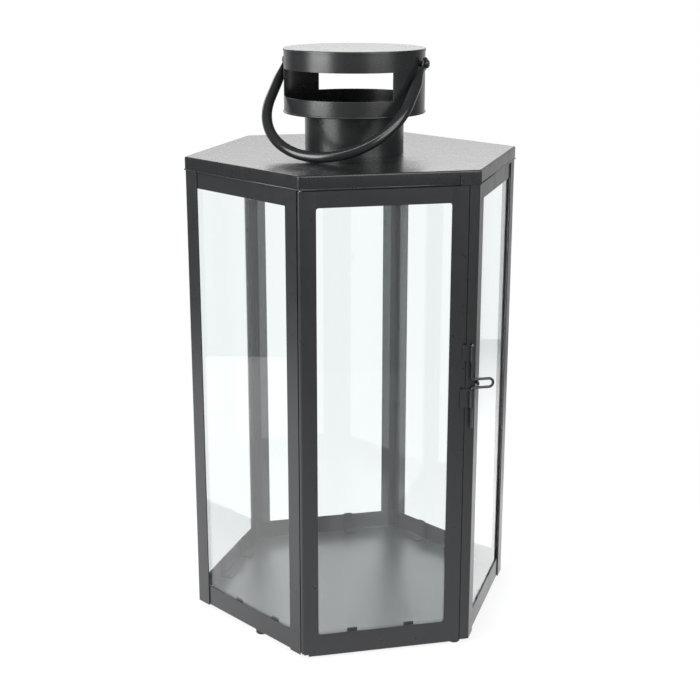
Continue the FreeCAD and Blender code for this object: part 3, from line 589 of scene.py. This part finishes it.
def fixed_rail(side, lower):
    """Folded rail: an upright web behind the posts' flanges and a foot or shelf turned inwards."""
    edge, fold = (RAIL_TOP, BASE) if lower else (HEADER_BOTTOM, ROOF_UNDER)
    outline = [(SHEET, edge), (SHEET, fold), (PANE_DEPTH + RAIL_FOOT, fold)]
    bm = bmesh.new()
    wire(bm, [(depth, height, -CORNER) for depth, height in outline], {1: SHEET_FOLD})
    raise_edges(bm, loose_edges(bm), (0, 0, 2 * CORNER))
    bm.transform(along_side())
    for sign in (-1, 1):
        end = Vector((sign * HALF_SIDE, 0, 0))
        normal = Vector((sign * math.cos(LEAN), math.sin(LEAN), 0))
        if side == "left" and sign == 1:
            normal = Matrix.Rotation(2 * LEAN, 4, "Z") @ Vector((0, -1, 0))
            end = Vector((HALF_SIDE, 0, 0)) - normal * (JAMB_DEPTH + SHEET)
        cut(bm, end, normal, clear=True)
    thicken(bm, SHEET, (0, -1, 0))
    soften(bm)
    name, replaced = ("skirt_rail_", "lower_rail_") if lower else ("head_rail_", "upper_rail_")
    finished(bm, name + side, "frame", FRAME_COAT, replaced + side, place=on_side(side))


def fixed_pane(side):
    """Pane of float glass with ground edges, kept a hair clear of the rails it stands against."""
    half = HALF_SIDE - PANE_INSET
    top = span("glass_back")[1].z
    bm = block((-half, half), (PANE_DEPTH, PANE_DEPTH + GLASS), (FLOOR_TOP, top))
    soften(bm, GLASS_EDGE, steps=1)
    finished(bm, "pane_" + side, "frame", CLEAR_GLASS, "glass_" + side, place=on_side(side))


def clip(outline, outward, middle, flared=False):
    """Narrow spring strip, folded at the middle point of its outline, placed along its side.

    A flared one's leaf ends in a curl off the glass.
    """
    bm = folded_sheet(outline, -CLIP_WIDTH / 2, CLIP_WIDTH / 2, outward, {1: CLIP_FOLD},
                      CLIP_SHEET)
    if flared:
        bevelled(bm, edges_at(bm, outline[0][1], CLIP_SHEET / 2), CLIP_SHEET * 2, 3)
    soften(bm, FINE_EDGE, steps=1)
    bm.transform(Matrix.Translation((middle, 0, 0)) @ along_side())
    return bm


def fixed_clips(lower):
    """The clips of the five fixed panes, on the floor or under the head rails."""
    depth = PANE_DEPTH + GLASS
    shelf = ROOF_UNDER - SHEET
    level, leaf_end, fold, foot = (
        ("lower", RAIL_TOP + CLIP_REACH, FLOOR_TOP, LOWER_CLIP_FOOT) if lower else
        ("upper", shelf - UPPER_CLIP_HEIGHT, shelf, UPPER_CLIP_FOOT))
    outline = [(depth, leaf_end), (depth, fold), (depth + foot, fold)]
    clips = []
    for side, offset in CLIP_OFFSETS.items():
        for sign in (-1, 1):
            one = clip(outline, (-1, 0, 0), offset + sign * CLIP_SPACING / 2, flared=True)
            one.transform(on_side(side))
            clips.append(one)
    finished(merged(*clips), "pane_clips_" + level, "frame", FRAME_COAT, "glass_clips_" + level)


def floor_plate():
    """Hexagonal floor on the rails' feet, its front edge cut back behind the door."""
    bm = bmesh.new()
    radius = (APOTHEM - PANE_DEPTH) / math.cos(LEAN)
    bmesh.ops.create_circle(bm, cap_ends=True, radius=radius, segments=6)
    rotated(bm, bm.verts[:], LEAN)
    cut(bm, (0, -APOTHEM + JAMB_DEPTH + SHEET, 0), (0, -1, 0), clear=True)
    bmesh.ops.translate(bm, verts=bm.verts[:], vec=(0, 0, FLOOR_TOP))
    thicken(bm, SHEET, (0, 0, 1))
    soften(bm)
    finished(bm, "floor_plate", "frame", FLOOR_COAT_PAINTED_LIGHTER, "base_floor")


def foot_pads():
    """Four round rubber pads, rounded underneath."""
    pads = []
    for side, place in PAD_PLACES.items():
        pad = spun([(0, 0), (PAD_RADIUS, 0), (PAD_RADIUS, BASE), (0, BASE)], {1: PAD_ROUND},
                   False, PAD_STEPS)
        normals_out(pad)
        pad.transform(on_side(side) @ Matrix.Translation((place, PAD_DEPTH, 0)))
        pads.append(pad)
    finished(merged(*pads), "foot_pads", "frame", FOOT_RUBBER, "feet")


# ---------------------------------------------------------------- door
def hinge_stile():
    """Left stile, its outer edge rolled into the barrel that turns on the hinge pins."""
    bm = bmesh.new()
    start = bm.verts.new((HINGE_X, 0, DOOR_BOTTOM))
    flat = bm.verts.new((HINGE_X + HINGE_NOTCH, 0, DOOR_BOTTOM))
    edge = bm.verts.new((OPENING_LEFT, 0, DOOR_BOTTOM))
    bm.edges.new((edge, flat))
    bm.edges.new((flat, start))
    swept(bm, [start], (HINGE_X, BARREL_RADIUS, 0), (0, 0, -1), BARREL_WRAP, ROLL_STEPS)
    middle = raise_edges(bm, loose_edges(bm), (0, 0, BARREL_LOW - DOOR_BOTTOM))
    raise_edges(bm, middle, (0, 0, DOOR_TOP - BARREL_LOW))
    notch = [face for face in bm.faces if face.calc_center_median().z < BARREL_LOW
             and face.calc_center_median().x < HINGE_X + HINGE_NOTCH]
    bmesh.ops.delete(bm, geom=notch, context="FACES")
    thicken(bm, SHEET, (0, -1, 0))
    soften(bm, keep=lambda e: at_joint(e, OPENING_LEFT))
    finished(bm, "hinge_stile", "door", FRAME_COAT, "door_stile_hinge", place=AT_FRONT)


def at_joint(edge, position):
    """True for an edge in the welded and ground joint at this position along the front."""
    return all(abs(vert.co.x - position) < SAME_PLACE for vert in edge.verts)


def strap_slots():
    """The two slots that the latch straps come out of, as (x, z) pairs."""
    slots = []
    for strap in ("latch_strap_upper", "latch_strap_lower"):
        low, high = span(strap)
        slots.append(((low.x, low.x + SLOT_WIDTH), (high.z, high.z + SLOT_HEIGHT)))
    return slots


def latch_stile():
    """Right stile with its two slots."""
    bm = plate((OPENING_RIGHT, DOOR_RIGHT), (DOOR_BOTTOM, DOOR_TOP), SHEET, strap_slots())
    soften(bm, keep=lambda e: at_joint(e, OPENING_RIGHT))
    finished(bm, "latch_stile", "door", FRAME_COAT, "door_stile_latch", place=AT_FRONT)


def rounded_corner(bm, start, centre, lower):
    """Spins a quarter circle from a vertex and gives its new vertices in order."""
    made = swept(bm, [start], centre, (0, 1, 0), 90 if lower else -90, CORNER_STEPS)
    last = [item for item in made["geom_last"] if isinstance(item, bmesh.types.BMVert)][0]
    walk = [start]
    while walk[-1] is not last:
        ahead = [edge.other_vert(walk[-1]) for edge in walk[-1].link_edges]
        walk.append([vert for vert in ahead if vert not in walk][0])
    return walk[1:]


def door_rail(lower):
    """Rail between the stiles, with a small web in each corner of the opening."""
    edge, outer = (RAIL_TOP, DOOR_BOTTOM) if lower else (HEADER_BOTTOM, DOOR_TOP)
    turning = edge + OPENING_ROUND if lower else edge - OPENING_ROUND
    bm = bmesh.new()
    verts = [bm.verts.new((x, 0, z)) for x, z in
             ((OPENING_LEFT, outer), (OPENING_RIGHT, outer), (OPENING_RIGHT, turning))]
    verts += rounded_corner(bm, verts[-1], (OPENING_RIGHT - OPENING_ROUND, 0, turning), lower)
    verts.append(bm.verts.new((OPENING_LEFT + OPENING_ROUND, 0, edge)))
    verts += rounded_corner(bm, verts[-1], (OPENING_LEFT + OPENING_ROUND, 0, turning), lower)
    bm.faces.new(verts)
    thicken(bm, SHEET, (0, -1, 0))
    soften(bm, keep=lambda e: at_joint(e, OPENING_LEFT) or at_joint(e, OPENING_RIGHT))
    name, replaced = ("door_bottom_rail", "door_rail_lower") if lower else (
        "door_top_rail", "door_rail_upper")
    finished(bm, name, "door", FRAME_COAT, replaced, place=AT_FRONT)


def door_pane():
    """The door's pane behind its frame."""
    low, high = span("door_glass")
    bm = block((low.x, high.x), (SHEET, SHEET + GLASS), (low.z, high.z))
    soften(bm, GLASS_EDGE, steps=1)
    finished(bm, "door_pane", "door", CLEAR_GLASS, "door_glass", place=AT_FRONT)


def door_clips():
    """Two folded clips on each rail of the door, round the pane's lower and upper edge."""
    depth = SHEET + GLASS
    clips = []
    for sign in (-1, 1):
        middle = DOOR_CLIP_OFFSET + sign * CLIP_SPACING / 2
        for edge, away, tip in ((DOOR_GLASS_LOW, -CLIP_SHEET, RAIL_TOP + CLIP_REACH),
                                (DOOR_GLASS_HIGH, CLIP_SHEET, HEADER_BOTTOM + CLIP_SHEET)):
            outline = [(depth + CLIP_SHEET, tip), (depth + CLIP_SHEET, edge + away),
                       (SHEET, edge + away)]
            clips.append(clip(outline, (1, 0, 0), middle))
    finished(merged(*clips), "door_pane_clips", "door", FRAME_COAT, "door_glass_clips",
             place=AT_FRONT)


# ---------------------------------------------------------------- latch
def wire_strap(level):
    """Strap that lies on the latch stile and curls round the upright wire."""
    low, high = span("latch_strap_" + level)
    curl = WIRE / 2 + WIRE_FIT + SHEET
    back = LATCH_DEPTH + curl
    bm = bmesh.new()
    wire(bm, [(low.x, 0, low.z), (DOOR_RIGHT + STRAP_DIP[0], 0, low.z),
              (DOOR_RIGHT + STRAP_DIP[1], back, low.z), (LATCH_X, back, low.z)])
    under_wire = bm.verts[:][-1]
    swept(bm, [under_wire], (LATCH_X, LATCH_DEPTH, 0), (0, 0, -1), STRAP_WRAP, ROLL_STEPS)
    raise_edges(bm, loose_edges(bm), (0, 0, high.z - low.z))
    thicken(bm, SHEET, (0, 1, 0))
    soften(bm, SMALL_EDGE)
    finished(bm, "wire_strap_" + level, "door", LATCH_COAT, "latch_strap_" + level, place=AT_FRONT)


def latch_loop():
    """Upright wire with its U-shaped finger loop, bent from one length."""
    low, high = span("latch_wire")
    middle = JOINTS["latch_swing"].z
    half = LOOP_PITCH / 2
    down = Vector((0, 0, -1))

    def at(x, z):
        return Vector((x, LATCH_DEPTH, z))

    def arc(centre, radius, start, end, steps):
        """Stations on an arc between two angles, in degrees from +x towards +z."""
        turning = 1 if end > start else -1
        found = []
        for step in range(steps + 1):
            angle = math.radians(start + (end - start) * step / steps)
            spoke = Vector((math.cos(angle), 0, math.sin(angle)))
            ahead = Vector((-math.sin(angle), 0, math.cos(angle))) * turning
            found.append((centre + spoke * radius, ahead))
        return found

    bend_x = LATCH_X + LOOP_BEND
    tip_x = LATCH_X + LOOP_REACH - half
    path = [(at(LATCH_X, high.z), down), (at(LATCH_X, high.z - WIRE_TIP), down)]
    path += arc(at(bend_x, middle + half + LOOP_BEND), LOOP_BEND, 180, 270, 6)
    path += arc(at(tip_x, middle), half, 90, -90, 18)
    path += arc(at(bend_x, middle - half - LOOP_BEND), LOOP_BEND, 90, 180, 6)
    path += [(at(LATCH_X, low.z + WIRE_TIP), down), (at(LATCH_X, low.z), down)]
    ends = (0, len(path) - 1)
    stations = [(point, ahead, *(2 * [WIRE / 2 * (WIRE_TIP_SHARE if count in ends else 1)]))
                for count, (point, ahead) in enumerate(path)]
    bm = rod_along(stations, Vector((0, 1, 0)), WIRE_SIDES)
    finished(bm, "latch_loop", "latch", LATCH_COAT, "latch_wire", place=AT_FRONT, flats=False)


def keeper_tongue():
    """Tongue on the latch post that stands out through the finger loop."""
    low, high = span("latch_keeper")
    bm = block((low.x, high.x), (low.y + APOTHEM, high.y + APOTHEM), (low.z, high.z))
    bevelled(bm, edges_at(bm, low.y + APOTHEM, SHEET / 2), TONGUE_ROUND, 4)
    soften(bm, FINE_EDGE)
    finished(bm, "keeper_tongue", "frame", LATCH_COAT, "latch_keeper", place=AT_FRONT)


# ---------------------------------------------------------------- roof
def roof_pressing():
    """Flat roof with a folded lip, and a round hole for the tube."""
    outer = (APOTHEM + SHEET - HEM_PROUD) / math.cos(LEAN)
    per_side = 20
    bm = bmesh.new()
    rim = bmesh.ops.create_circle(bm, radius=outer, segments=6)["verts"]
    rotated(bm, rim, LEAN)
    bmesh.ops.subdivide_edges(bm, edges=bm.edges[:], cuts=per_side - 1)
    rim_edges = bm.edges[:]
    hole = bmesh.ops.create_circle(bm, radius=TUBE_RADIUS + HOLE_FIT, segments=6 * per_side)
    rotated(bm, hole["verts"], LEAN)
    bmesh.ops.bridge_loops(bm, edges=bm.edges[:])
    bmesh.ops.translate(bm, verts=bm.verts[:], vec=(0, 0, ROOF_TOP))
    raise_edges(bm, rim_edges, (0, 0, LIP_BOTTOM - ROOF_TOP))
    face_outwards(bm, (0, 0, 1))
    folds = [edge for edge in bm.edges if edge.is_manifold
             and edge.calc_face_angle(0) > math.radians(50)]
    bevelled(bm, folds, ROOF_FOLD, 4)
    thicken(bm, SHEET - HEM_PROUD, (0, 0, 1))
    middle = (APOTHEM + SHEET) / math.cos(LEAN) - HEM_RADIUS
    hem = rolled_bead(middle, LIP_BOTTOM + HEM_RADIUS, HEM_RADIUS, 14, 6)
    finished(merged(bm, hem), "roof_pressing", "frame", ROOF_COAT, "roof")


def lip_lap():
    """Tab of the right lip, lapped over the front lip."""
    low, high = span("roof_lap_tab")
    bm = block((low.x, high.x), (low.y + APOTHEM, high.y + APOTHEM), (low.z, high.z))
    soften(bm, SMALL_EDGE)
    finished(bm, "lip_lap_right", "frame", ROOF_COAT, "roof_lap_tab", place=AT_FRONT)


# ---------------------------------------------------------------- chimney and cap
def flue_tube():
    """Rolled tube between the roof and the cap."""
    low, high = span("chimney_tube")
    bm = spun([(TUBE_RADIUS, low.z), (TUBE_RADIUS, high.z),
               (TUBE_RADIUS - SHEET, high.z), (TUBE_RADIUS - SHEET, low.z)])
    normals_out(bm)
    soften(bm)
    finished(bm, "flue_tube", "frame", CAP_COAT, "chimney_tube")


def cowl_wall():
    """Wall of the cap with its two windows and the rolled bead on its lower edge."""
    window = (CAP_BOTTOM + WINDOW_BOTTOM, CAP_BOTTOM + WINDOW_BOTTOM + WINDOW_HEIGHT)
    rows = (CAP_BOTTOM, window[0], window[1], CAP_WALL_TOP)
    bm = spun([(CAP_RADIUS, z) for z in rows], closed=False, steps=CAP_STEPS)
    first = math.radians(PILLAR_AZIMUTH + PILLAR_ANGLE / 2)
    rotated(bm, bm.verts[:], first)

    def in_window(face):
        middle = face.calc_center_median()
        turn = math.degrees(math.atan2(middle.y, middle.x) - first) % 180
        return window[0] < middle.z < window[1] and turn < 180 - PILLAR_ANGLE

    bmesh.ops.delete(bm, geom=[face for face in bm.faces if in_window(face)], context="FACES")
    normals_out(bm)
    side = max(bm.faces, key=lambda face: face.calc_center_median().x)
    if side.normal.x < 0:
        bmesh.ops.reverse_faces(bm, faces=bm.faces[:])
    bmesh.ops.solidify(bm, geom=bm.faces[:], thickness=SHEET)
    normals_out(bm)
    soften(bm)
    bead = rolled_bead(CAP_RADIUS, CAP_BOTTOM + BEAD_RADIUS, BEAD_RADIUS, 12, CAP_STEPS)
    finished(merged(bm, bead), "cowl_wall", "frame", CAP_COAT, "cap_wall")


def cowl_lid():
    """Lid of the cap, its rim turned down outside the wall."""
    outer = CAP_RADIUS + RIM_PROUD
    bm = spun([(0, CAP_TOP), (outer, CAP_TOP), (outer, CAP_TOP - RIM_HEIGHT),
               (CAP_RADIUS, CAP_TOP - RIM_HEIGHT), (CAP_RADIUS, CAP_TOP - SHEET),
               (0, CAP_TOP - SHEET)], {1: RIM_ROUND}, closed=False, steps=CAP_STEPS)
    normals_out(bm)
    soften(bm, LID_EDGE)
    finished(bm, "cowl_lid", "frame", CAP_COAT, "cap_top")


# ---------------------------------------------------------------- bail handle
def bail_place():
    """Turns a bail that hangs from pivots on X to its rest on the roof."""
    length = BAIL_ARC_DROP + BAIL_ARC_RADIUS
    tilt = math.acos((PIVOT_Z - ROOF_TOP - ROD_RADIUS - CLEAR) / length)
    turn = Matrix.Rotation(math.radians(BAIL_AZIMUTH), 4, "Z")
    return Matrix.Translation((0, 0, PIVOT_Z)) @ turn @ Matrix.Rotation(-tilt, 4, "X")


def bail_rod():
    """Round rod bent to a bail, its ends hammered flat into eyes."""
    to_centre = math.hypot(PIVOT_REACH, BAIL_ARC_DROP)
    tangent = math.sqrt(to_centre ** 2 - BAIL_ARC_RADIUS ** 2)
    turn = math.atan2(-BAIL_ARC_DROP, -PIVOT_REACH) + math.atan2(BAIL_ARC_RADIUS, tangent)
    arm = Vector((math.cos(turn), 0, math.sin(turn)))
    pivot = Vector((PIVOT_REACH, 0, 0))
    centre = Vector((0, 0, -BAIL_ARC_DROP))
    stations = []
    for degrees in EYE_TURNS:
        height = EYE_RADIUS * math.cos(math.radians(degrees))
        width = math.sqrt(EYE_RADIUS ** 2 - height ** 2)
        thickness = EYE_THICK / 2 * min(1, EYE_RIM_SHARE + width / EYE_RADIUS)
        stations.append((pivot - arm * height, arm, width, thickness))
    root = -stations[-1][0].dot(arm) + pivot.dot(arm)
    eye_width = stations[-1][2]
    for step in range(NECK_STEPS):
        share = (step + 1) / NECK_STEPS
        smooth = share * share * (3 - 2 * share)
        distance = -root + (EYE_NECK + root) * share
        stations.append((pivot + arm * distance, arm,
                         eye_width + (ROD_RADIUS - eye_width) * smooth,
                         EYE_THICK / 2 + (ROD_RADIUS - EYE_THICK / 2) * smooth))
    stations.append((pivot + arm * tangent * ARM_SHARE, arm, ROD_RADIUS, ROD_RADIUS))
    spoke = pivot + arm * tangent - centre
    sweep = math.atan2(spoke.z, spoke.x)
    half = []
    for step in range(BAIL_ARC_STEPS + 1):
        angle = sweep + (-math.pi / 2 - sweep) * step / BAIL_ARC_STEPS
        outwards = Vector((math.cos(angle), 0, math.sin(angle)))
        half.append((centre + outwards * BAIL_ARC_RADIUS,
                     Vector((math.sin(angle), 0, -math.cos(angle))), ROD_RADIUS, ROD_RADIUS))
    stations += half
    other = [(Vector((-p.x, p.y, p.z)), Vector((a.x, a.y, -a.z)), w, t)
             for p, a, w, t in reversed(stations[:-1])]
    bm = rod_along(stations + other, Vector((0, 1, 0)), ROD_SIDES)
    finished(bm, "bail_rod", "handle", ROD_COAT, "handle_bail", place=bail_place(), flats=False)


def bail_rivets():
    """Two shoulder rivets with domed heads, through the cap's wall and the bail's eyes."""
    seat = math.sqrt((CAP_RADIUS - SHEET) ** 2 - RIVET_HEAD ** 2)
    outer = PIVOT_REACH + EYE_THICK / 2 + RIVET_HEAD_GAP
    profile = [(0, seat - RIVET_COLLAR), (RIVET_HEAD, seat - RIVET_COLLAR), (RIVET_HEAD, seat),
               (RIVET_RADIUS, seat), (RIVET_RADIUS, outer), (RIVET_HEAD, outer),
               (RIVET_HEAD, outer + RIVET_HEAD_THICK), (0, outer + RIVET_HEAD_THICK)]
    rivets = []
    for turn in (0, 180):
        bm = spun(profile, {6: RIVET_HEAD_ROUND}, False, RIVET_STEPS)
        normals_out(bm)
        soften(bm, RIVET_EDGE)
        bm.transform(Matrix.Translation((0, 0, PIVOT_Z))
                     @ Matrix.Rotation(math.radians(BAIL_AZIMUTH + turn), 4, "Z")
                     @ Matrix.Rotation(math.radians(90), 4, "Y"))
        rivets.append(bm)
    finished(merged(*rivets), "bail_rivets", "frame", ROD_COAT, "handle_rivets")


# ---------------------------------------------------------------- studio
TABLE_RADIUS = 750.0
TABLE_STEPS = 96
BACKDROP_AZIMUTH = 78           # degrees from +X to the middle of the white behind the lantern
LAMP_TARGET = (0, 0, 0.2)       # metres, the lantern's middle
LENS_START = 0.01               # metres, nearest that the camera sees
PAINTED_POOL_MIDDLE = (-0.25, 0.05, 0)  # metres, middle of the painted pool of light that the table top glows with for gloss
PAINTED_DIM_MIDDLE = (0.1, -0.35, 0)    # metres, where that painted glow is dimmest (painted shade), towards the camera

# The table top's share of plain white, over metres from the axis, and the strength of the painted
# glow that gloss mirrors, over metres from the painted pool's middle and from its painted dim
# place.
SHADOW_FADE = {"From Min": 0.2, "From Max": 0.42, "To Min": 0.84, "To Max": 1.0}
PAINTED_POOL_FADE = {"From Min": 0.45, "From Max": 0.9, "To Min": 1.0, "To Max": 0.2}
PAINTED_DIM_FADE = {"From Min": 0.25, "From Max": 0.45, "To Min": 1.0, "To Max": 1.7}

# Strength of the room's white, over the cosine of the angle to the backdrop's middle: as plain
# surfaces get it, and as gloss mirrors it.
ROOM_FADE = {"From Min": 0.6, "From Max": 0.86, "To Min": 0.45, "To Max": 1.0}
SHEEN_FADE = {"From Min": 0.55, "From Max": 0.86, "To Min": 0.16, "To Max": 0.8}

# Azimuth and elevation in degrees, distance and size in metres, power in watts.
LAMPS = {
    "left_softbox": (-160, 20, 1.3, (0.85, 0.9), 24),
    "right_softbox": (-62, 25, 1.4, (1.0, 1.0), 14),
    "back_softbox": (92, 30, 1.8, (1.9, 0.9), 13),
    "top_strip": (-110, 58, 1.4, (2.0, 0.18), 9),
}


def lamp(name, azimuth, elevation, distance, size, power):
    """Rectangular soft box that looks at the lantern's middle."""
    light = bpy.data.lights.new(name, "AREA")
    light.shape = "RECTANGLE"
    light.size, light.size_y = size
    light.energy = power
    around, up = math.radians(azimuth), math.radians(elevation)
    away = Vector((math.cos(around) * math.cos(up), math.sin(around) * math.cos(up),
                   math.sin(up)))
    box = bpy.data.objects.new(name, light)
    box.matrix_world = (Matrix.Translation(Vector(LAMP_TARGET) + away * distance)
                        @ away.to_track_quat("Z", "Y").to_matrix().to_4x4())
    bpy.context.scene.collection.objects.link(box)


def seen_plain(tree):
    """1 for the rays that show the background, straight to the camera or through glass."""
    path = node(tree, "LightPath").outputs
    return node(tree, "Math", {0: path["Is Camera Ray"], 1: path["Is Transmission Ray"]},
                operation="MAXIMUM").outputs["Value"]


def studio_floor():
    """Round white table top that keeps a faint shadow near the lantern.

    Gloss sees it glow as a painted pool of light, dimmed towards the camera, and the dark coats
    mirror that painted glow as their gradients.
    """
    bm = bmesh.new()
    bmesh.ops.create_circle(bm, cap_ends=True, radius=TABLE_RADIUS * MM, segments=TABLE_STEPS)
    mesh = bpy.data.meshes.new("studio_floor")
    bm.to_mesh(mesh)
    bm.free()
    material, tree = blank("white_studio_floor")
    paint = node(tree, "BsdfDiffuse", {"Color": linear("#E8E8E8")})
    place = node(tree, "TexCoord").outputs["Object"]
    away = node(tree, "VectorMath", {0: place}, operation="LENGTH").outputs["Value"]
    plain = node(tree, "MapRange", {"Value": away, **SHADOW_FADE}).outputs["Result"]
    # Painted pool of light: for gloss the table glows brightest round one point and dimmer towards
    # the camera, with no lamp there.
    from_pool = node(tree, "VectorMath", {0: place, 1: PAINTED_POOL_MIDDLE}, operation="DISTANCE")
    pool = node(tree, "MapRange", {"Value": from_pool.outputs["Value"], **PAINTED_POOL_FADE})
    from_dim = node(tree, "VectorMath", {0: place, 1: PAINTED_DIM_MIDDLE}, operation="DISTANCE")
    brighter = node(tree, "MapRange", {"Value": from_dim.outputs["Value"], **PAINTED_DIM_FADE})
    painted_glow = node(tree, "Math", {0: pool.outputs["Result"], 1: brighter.outputs["Result"]},
                    operation="MULTIPLY")
    gloss = node(tree, "LightPath").outputs["Is Glossy Ray"]
    strength = node(tree, "Mix", {"Factor": seen_plain(tree), "A": painted_glow.outputs["Value"],
                                  "B": 1.0})
    glow = node(tree, "Emission", {"Color": linear("#FFFFFF"),
                                   "Strength": strength.outputs["Result"]})
    seen = node(tree, "Math", {0: seen_plain(tree), 1: plain}, operation="MULTIPLY")
    share = node(tree, "Math", {0: seen.outputs["Value"], 1: gloss}, operation="MAXIMUM")
    both = node(tree, "MixShader", {0: share.outputs["Value"], 1: paint.outputs["BSDF"],
                                    2: glow.outputs["Emission"]})
    node(tree, "OutputMaterial", {"Surface": both.outputs["Shader"]})
    mesh.materials.append(material)
    floor = bpy.data.objects.new("studio_floor", mesh)
    bpy.context.scene.collection.objects.link(floor)


def studio_world():
    """White behind the lantern, and a dimmer room on the other sides for gloss and fill."""
    world = bpy.data.worlds.new("studio")
    world.use_nodes = True
    tree = world.node_tree
    tree.nodes.clear()
    behind = math.radians(BACKDROP_AZIMUTH)
    towards = node(tree, "VectorMath", {0: node(tree, "TexCoord").outputs["Generated"],
                                        1: (math.cos(behind), math.sin(behind), 0)},
                   operation="DOT_PRODUCT").outputs["Value"]
    room = node(tree, "MapRange", {"Value": towards, **ROOM_FADE})
    sheen = node(tree, "MapRange", {"Value": towards, **SHEEN_FADE})
    gloss = node(tree, "LightPath").outputs["Is Glossy Ray"]
    lit = node(tree, "Mix", {"Factor": gloss, "A": room.outputs["Result"],
                             "B": sheen.outputs["Result"]})
    strength = node(tree, "Mix", {"Factor": seen_plain(tree), "A": lit.outputs["Result"],
                                  "B": 1.0})
    shade = node(tree, "Background", {"Color": linear("#FFFFFF"),
                                      "Strength": strength.outputs["Result"]})
    node(tree, "OutputWorld", {"Surface": shade.outputs["Background"]})
    bpy.context.scene.world = world


def camera():
    """Camera at the photograph's viewpoint."""
    focal, sensor, distance, height = 70.72, 36.0, 939.10, 455.17
    azimuth = math.radians(13.0601)
    pitch, yaw, roll = math.radians(16.0488), math.radians(-0.1724), math.radians(0.0401)
    heading = azimuth + yaw
    ahead = Vector((math.sin(heading) * math.cos(pitch), math.cos(heading) * math.cos(pitch),
                    -math.sin(pitch)))
    level = Vector((math.cos(heading), -math.sin(heading), 0))
    upright = level.cross(ahead)
    right = level * math.cos(roll) + upright * math.sin(roll)
    up = upright * math.cos(roll) - level * math.sin(roll)
    place = Vector((-math.sin(azimuth) * distance, -math.cos(azimuth) * distance, height)) * MM
    lens = bpy.data.cameras.new("camera")
    lens.lens, lens.sensor_width = focal, sensor
    lens.clip_start = LENS_START
    view = bpy.data.objects.new("camera", lens)
    view.matrix_world = Matrix([[right[i], up[i], -ahead[i], place[i]] for i in range(3)]
                               + [[0, 0, 0, 1]])
    bpy.context.scene.collection.objects.link(view)
    bpy.context.scene.camera = view


# ---------------------------------------------------------------- build
camera()
studio_world()
studio_floor()
for name, settings in LAMPS.items():
    lamp(name, *settings)
bpy.context.scene.view_settings.view_transform = "Standard"

for corner in CORNERS:
    corner_post(corner)
latch_post()
hinge_post()
for side in FIXED_SIDES:
    fixed_rail(side, True)
    fixed_rail(side, False)
    fixed_pane(side)
fixed_clips(True)
fixed_clips(False)
floor_plate()
foot_pads()
hinge_stile()
latch_stile()
door_rail(True)
door_rail(False)
door_pane()
door_clips()
wire_strap("upper")
wire_strap("lower")
latch_loop()
keeper_tongue()
roof_pressing()
lip_lap()
flue_tube()
cowl_wall()
cowl_lid()
bail_rod()
bail_rivets()

# CAD nodes whose shape is right keep it, and get the finish of what they are part of.
KEPT = {"door_sill": FRAME_COAT[1], "door_header": FRAME_COAT[1], "door_hinge_pins": PIN_STEEL,
        "chimney_flange_lower": CAP_COAT[1], "chimney_flange_upper": CAP_COAT[1],
        "cap_floor": CAP_COAT[1]}
for name, material in KEPT.items():
    slots = frame["nodes"][name].data.materials
    slots.clear()
    slots.append(material)
